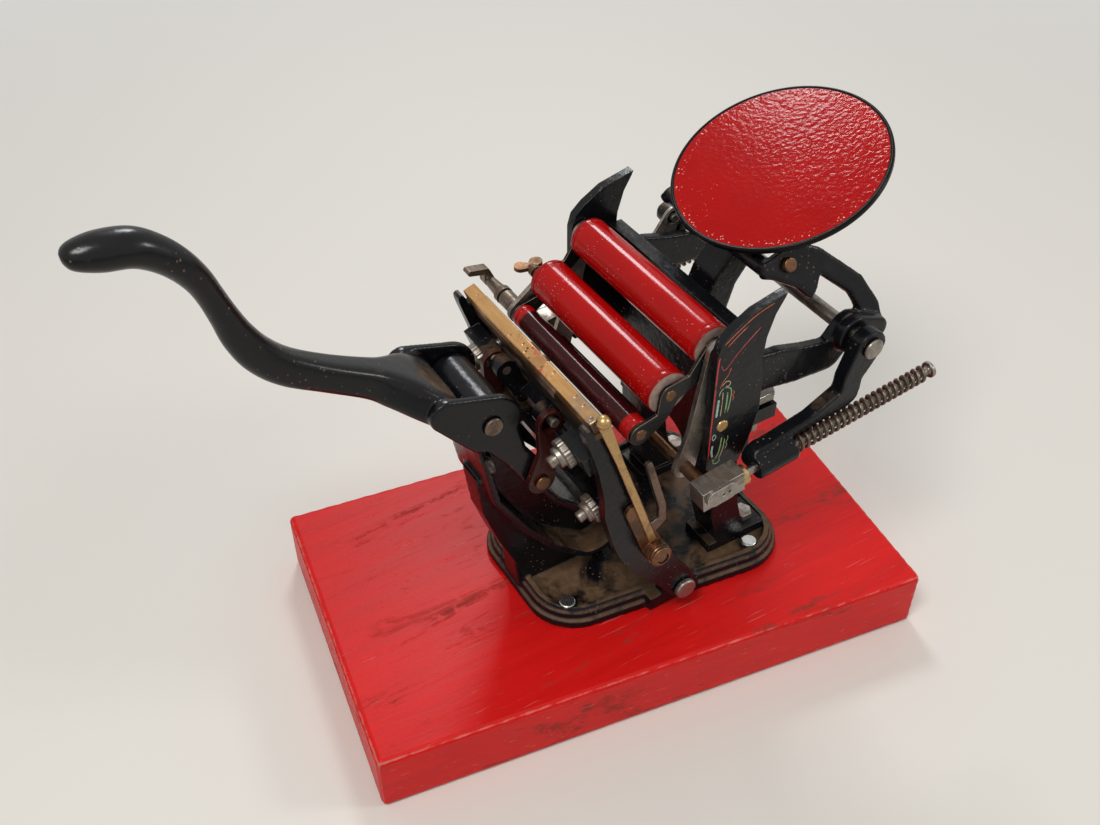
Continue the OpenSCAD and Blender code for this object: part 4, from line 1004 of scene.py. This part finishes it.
# line paints of the rails, fresh and faded
enamels = {
    "red": (tone(206, 40, 44), tone(140, 24, 26)),
    "orange": (tone(216, 92, 46), tone(150, 52, 30)),
    "cream": (tone(206, 190, 140), tone(140, 120, 80)),
    "green": (tone(136, 176, 122), tone(84, 116, 76)),
    "blue": (tone(172, 202, 196), tone(112, 142, 138)),
}
enamelWear = {
    "under": tone(24, 24, 26), "goneNoise": (260, 4, 0.7), "goneEdge": (0.56, 0.62),
    "fade": (120, 3), "rough": 0.34, "depth": 0.0002, "relief": 0.3,
}
# painted lines and scrolls: colour, width, and points along the press and up, over the board
stripes = [
    ("red", 0.9, [[19.2, 112], [18.9, 130], [18.9, 150], [18.9, 170], [19.4, 177]]),
    ("orange", 0.6, [[21.4, 183.4], [27.6, 187.9], [37.8, 194.0], [48, 197.2]]),
    ("orange", 0.4, [[23.5, 181.8], [29, 186.2], [34, 189.4]]),
    ("red", 0.4, [[42, 186], [36, 181], [30, 175.5], [23.2, 168.2], [20.6, 172]]),
    ("orange", 0.45, [[26.8, 168], [25.4, 164], [22.8, 161], [21.6, 157.5]]),
    ("cream", 0.5, [
        [22.6, 158.6], [24.6, 160.4], [26.8, 159.8], [27.4, 158], [26, 157], [24.9, 157.9]]),
    ("green", 0.7, [
        [21.6, 152.5], [22, 155], [23.8, 156.6], [26, 156.4],
        [28.2, 154.6], [28.8, 151], [28.4, 145], [27.6, 140]]),
    ("blue", 1.5, [[21.6, 150.5], [21.4, 146], [21.2, 139.5]]),
    ("cream", 0.45, [[23.6, 154.4], [23.8, 148], [23.6, 139.2]]),
    ("green", 1.0, [[26.4, 153.2], [26.6, 147], [26.2, 140]]),
    ("orange", 0.4, [[29.8, 153], [30.6, 151.4], [29.8, 149.8], [30.6, 148.2], [29.6, 146.4]]),
    ("green", 1.0, [[26.2, 124.5], [25.8, 118], [24.6, 113], [22.4, 109.6]]),
    ("cream", 0.5, [[28.2, 123], [27.8, 117], [26.6, 112.4], [25.4, 110.6]]),
    ("green", 0.5, [[29.8, 124], [30.2, 121.8], [29.4, 119.8], [30, 117.8], [29, 115.6]]),
    ("blue", 1.3, [[21, 121], [20.8, 117], [21.6, 113]]),
    ("green", 0.6, [[21.8, 112], [22.8, 108.4], [24.8, 107.6], [26.4, 109], [25.6, 110.6]]),
    ("blue", 0.6, [[21, 128.5], [22.4, 126.6], [21.2, 124.6], [20.2, 126.4], [21, 128.5]]),
]
brush = {
    "face": 65.5, "lift": 0.07, "sink": 0.05, "steps": 8, "ends": 5, "point": 0.25,
    "section": ((-1.0, 0.0), (-0.7, 1.0), (0.7, 1.0), (1.0, 0.0)),
}


def enamelFinish(name, colour, worn, s):
    # line paint that has faded in places and is gone in others, down to the black under it
    p = Paint(name)
    gone = p.patches(s["goneNoise"], s["goneEdge"])
    base = p.mix(gone * 0.8, p.mix(p.noise(*s["fade"]) * 0.5, colour, worn), s["under"])
    return p.finish({
        "Base Color": base, "Roughness": s["rough"] + gone * 0.2,
        "Normal": p.bump(gone, s["depth"], s["relief"]),
    })


def stroke(width, points, side, s):
    # a flat brush line: the smooth path widened and lifted off the rail; a sine points its ends
    q = smoothPath(points, s["steps"])
    way = np.gradient(q, axis=0)
    way /= np.linalg.norm(way, axis=1, keepdims=True)
    off = np.column_stack([-way[:, 1], way[:, 0]])
    t = np.linspace(0, 1, len(q))[:, None]
    half = width / 2 * np.clip(np.sin(np.pi * t) * s["ends"], s["point"], 1)
    rows = []
    for across, raised in s["section"]:
        high = side * (s["face"] - s["sink"] + (s["lift"] + s["sink"]) * raised)
        rows.append(np.column_stack([q + off * half * across, np.full(len(q), high)]))
    p = np.stack(rows, 1)[..., [0, 2, 1]]
    p[..., 2] += boardTop
    return p.reshape(-1, 3), gridFaces(len(q), len(rows))


def paintRails(strokeList, s):
    # every colour's lines on both rails are one piece
    for colour, pair in enamels.items():
        mine = [(width, points) for name, width, points in strokeList if name == colour]
        parts = [stroke(width, points, side, s) for width, points in mine for side in (-1, 1)]
        finish = enamelFinish("enamel_" + colour, *pair, enamelWear)
        joinParts("rail_lines_" + colour, parts, finish, "frame")


paintRails(stripes, brush)
print("rails lined")

half = studio["floorHalf"]
floorCorners = [(-half, -half, 0), (half, -half, 0), (half, half, 0), (-half, half, 0)]
floorMesh = bpy.data.meshes.new("pale_floor")
floorMesh.from_pydata(floorCorners, [], [(0, 1, 2, 3)])
floorMesh.materials.append(floorFinish(studio))
paleFloor = bpy.data.objects.new("pale_floor", floorMesh)
bpy.context.scene.collection.objects.link(paleFloor)
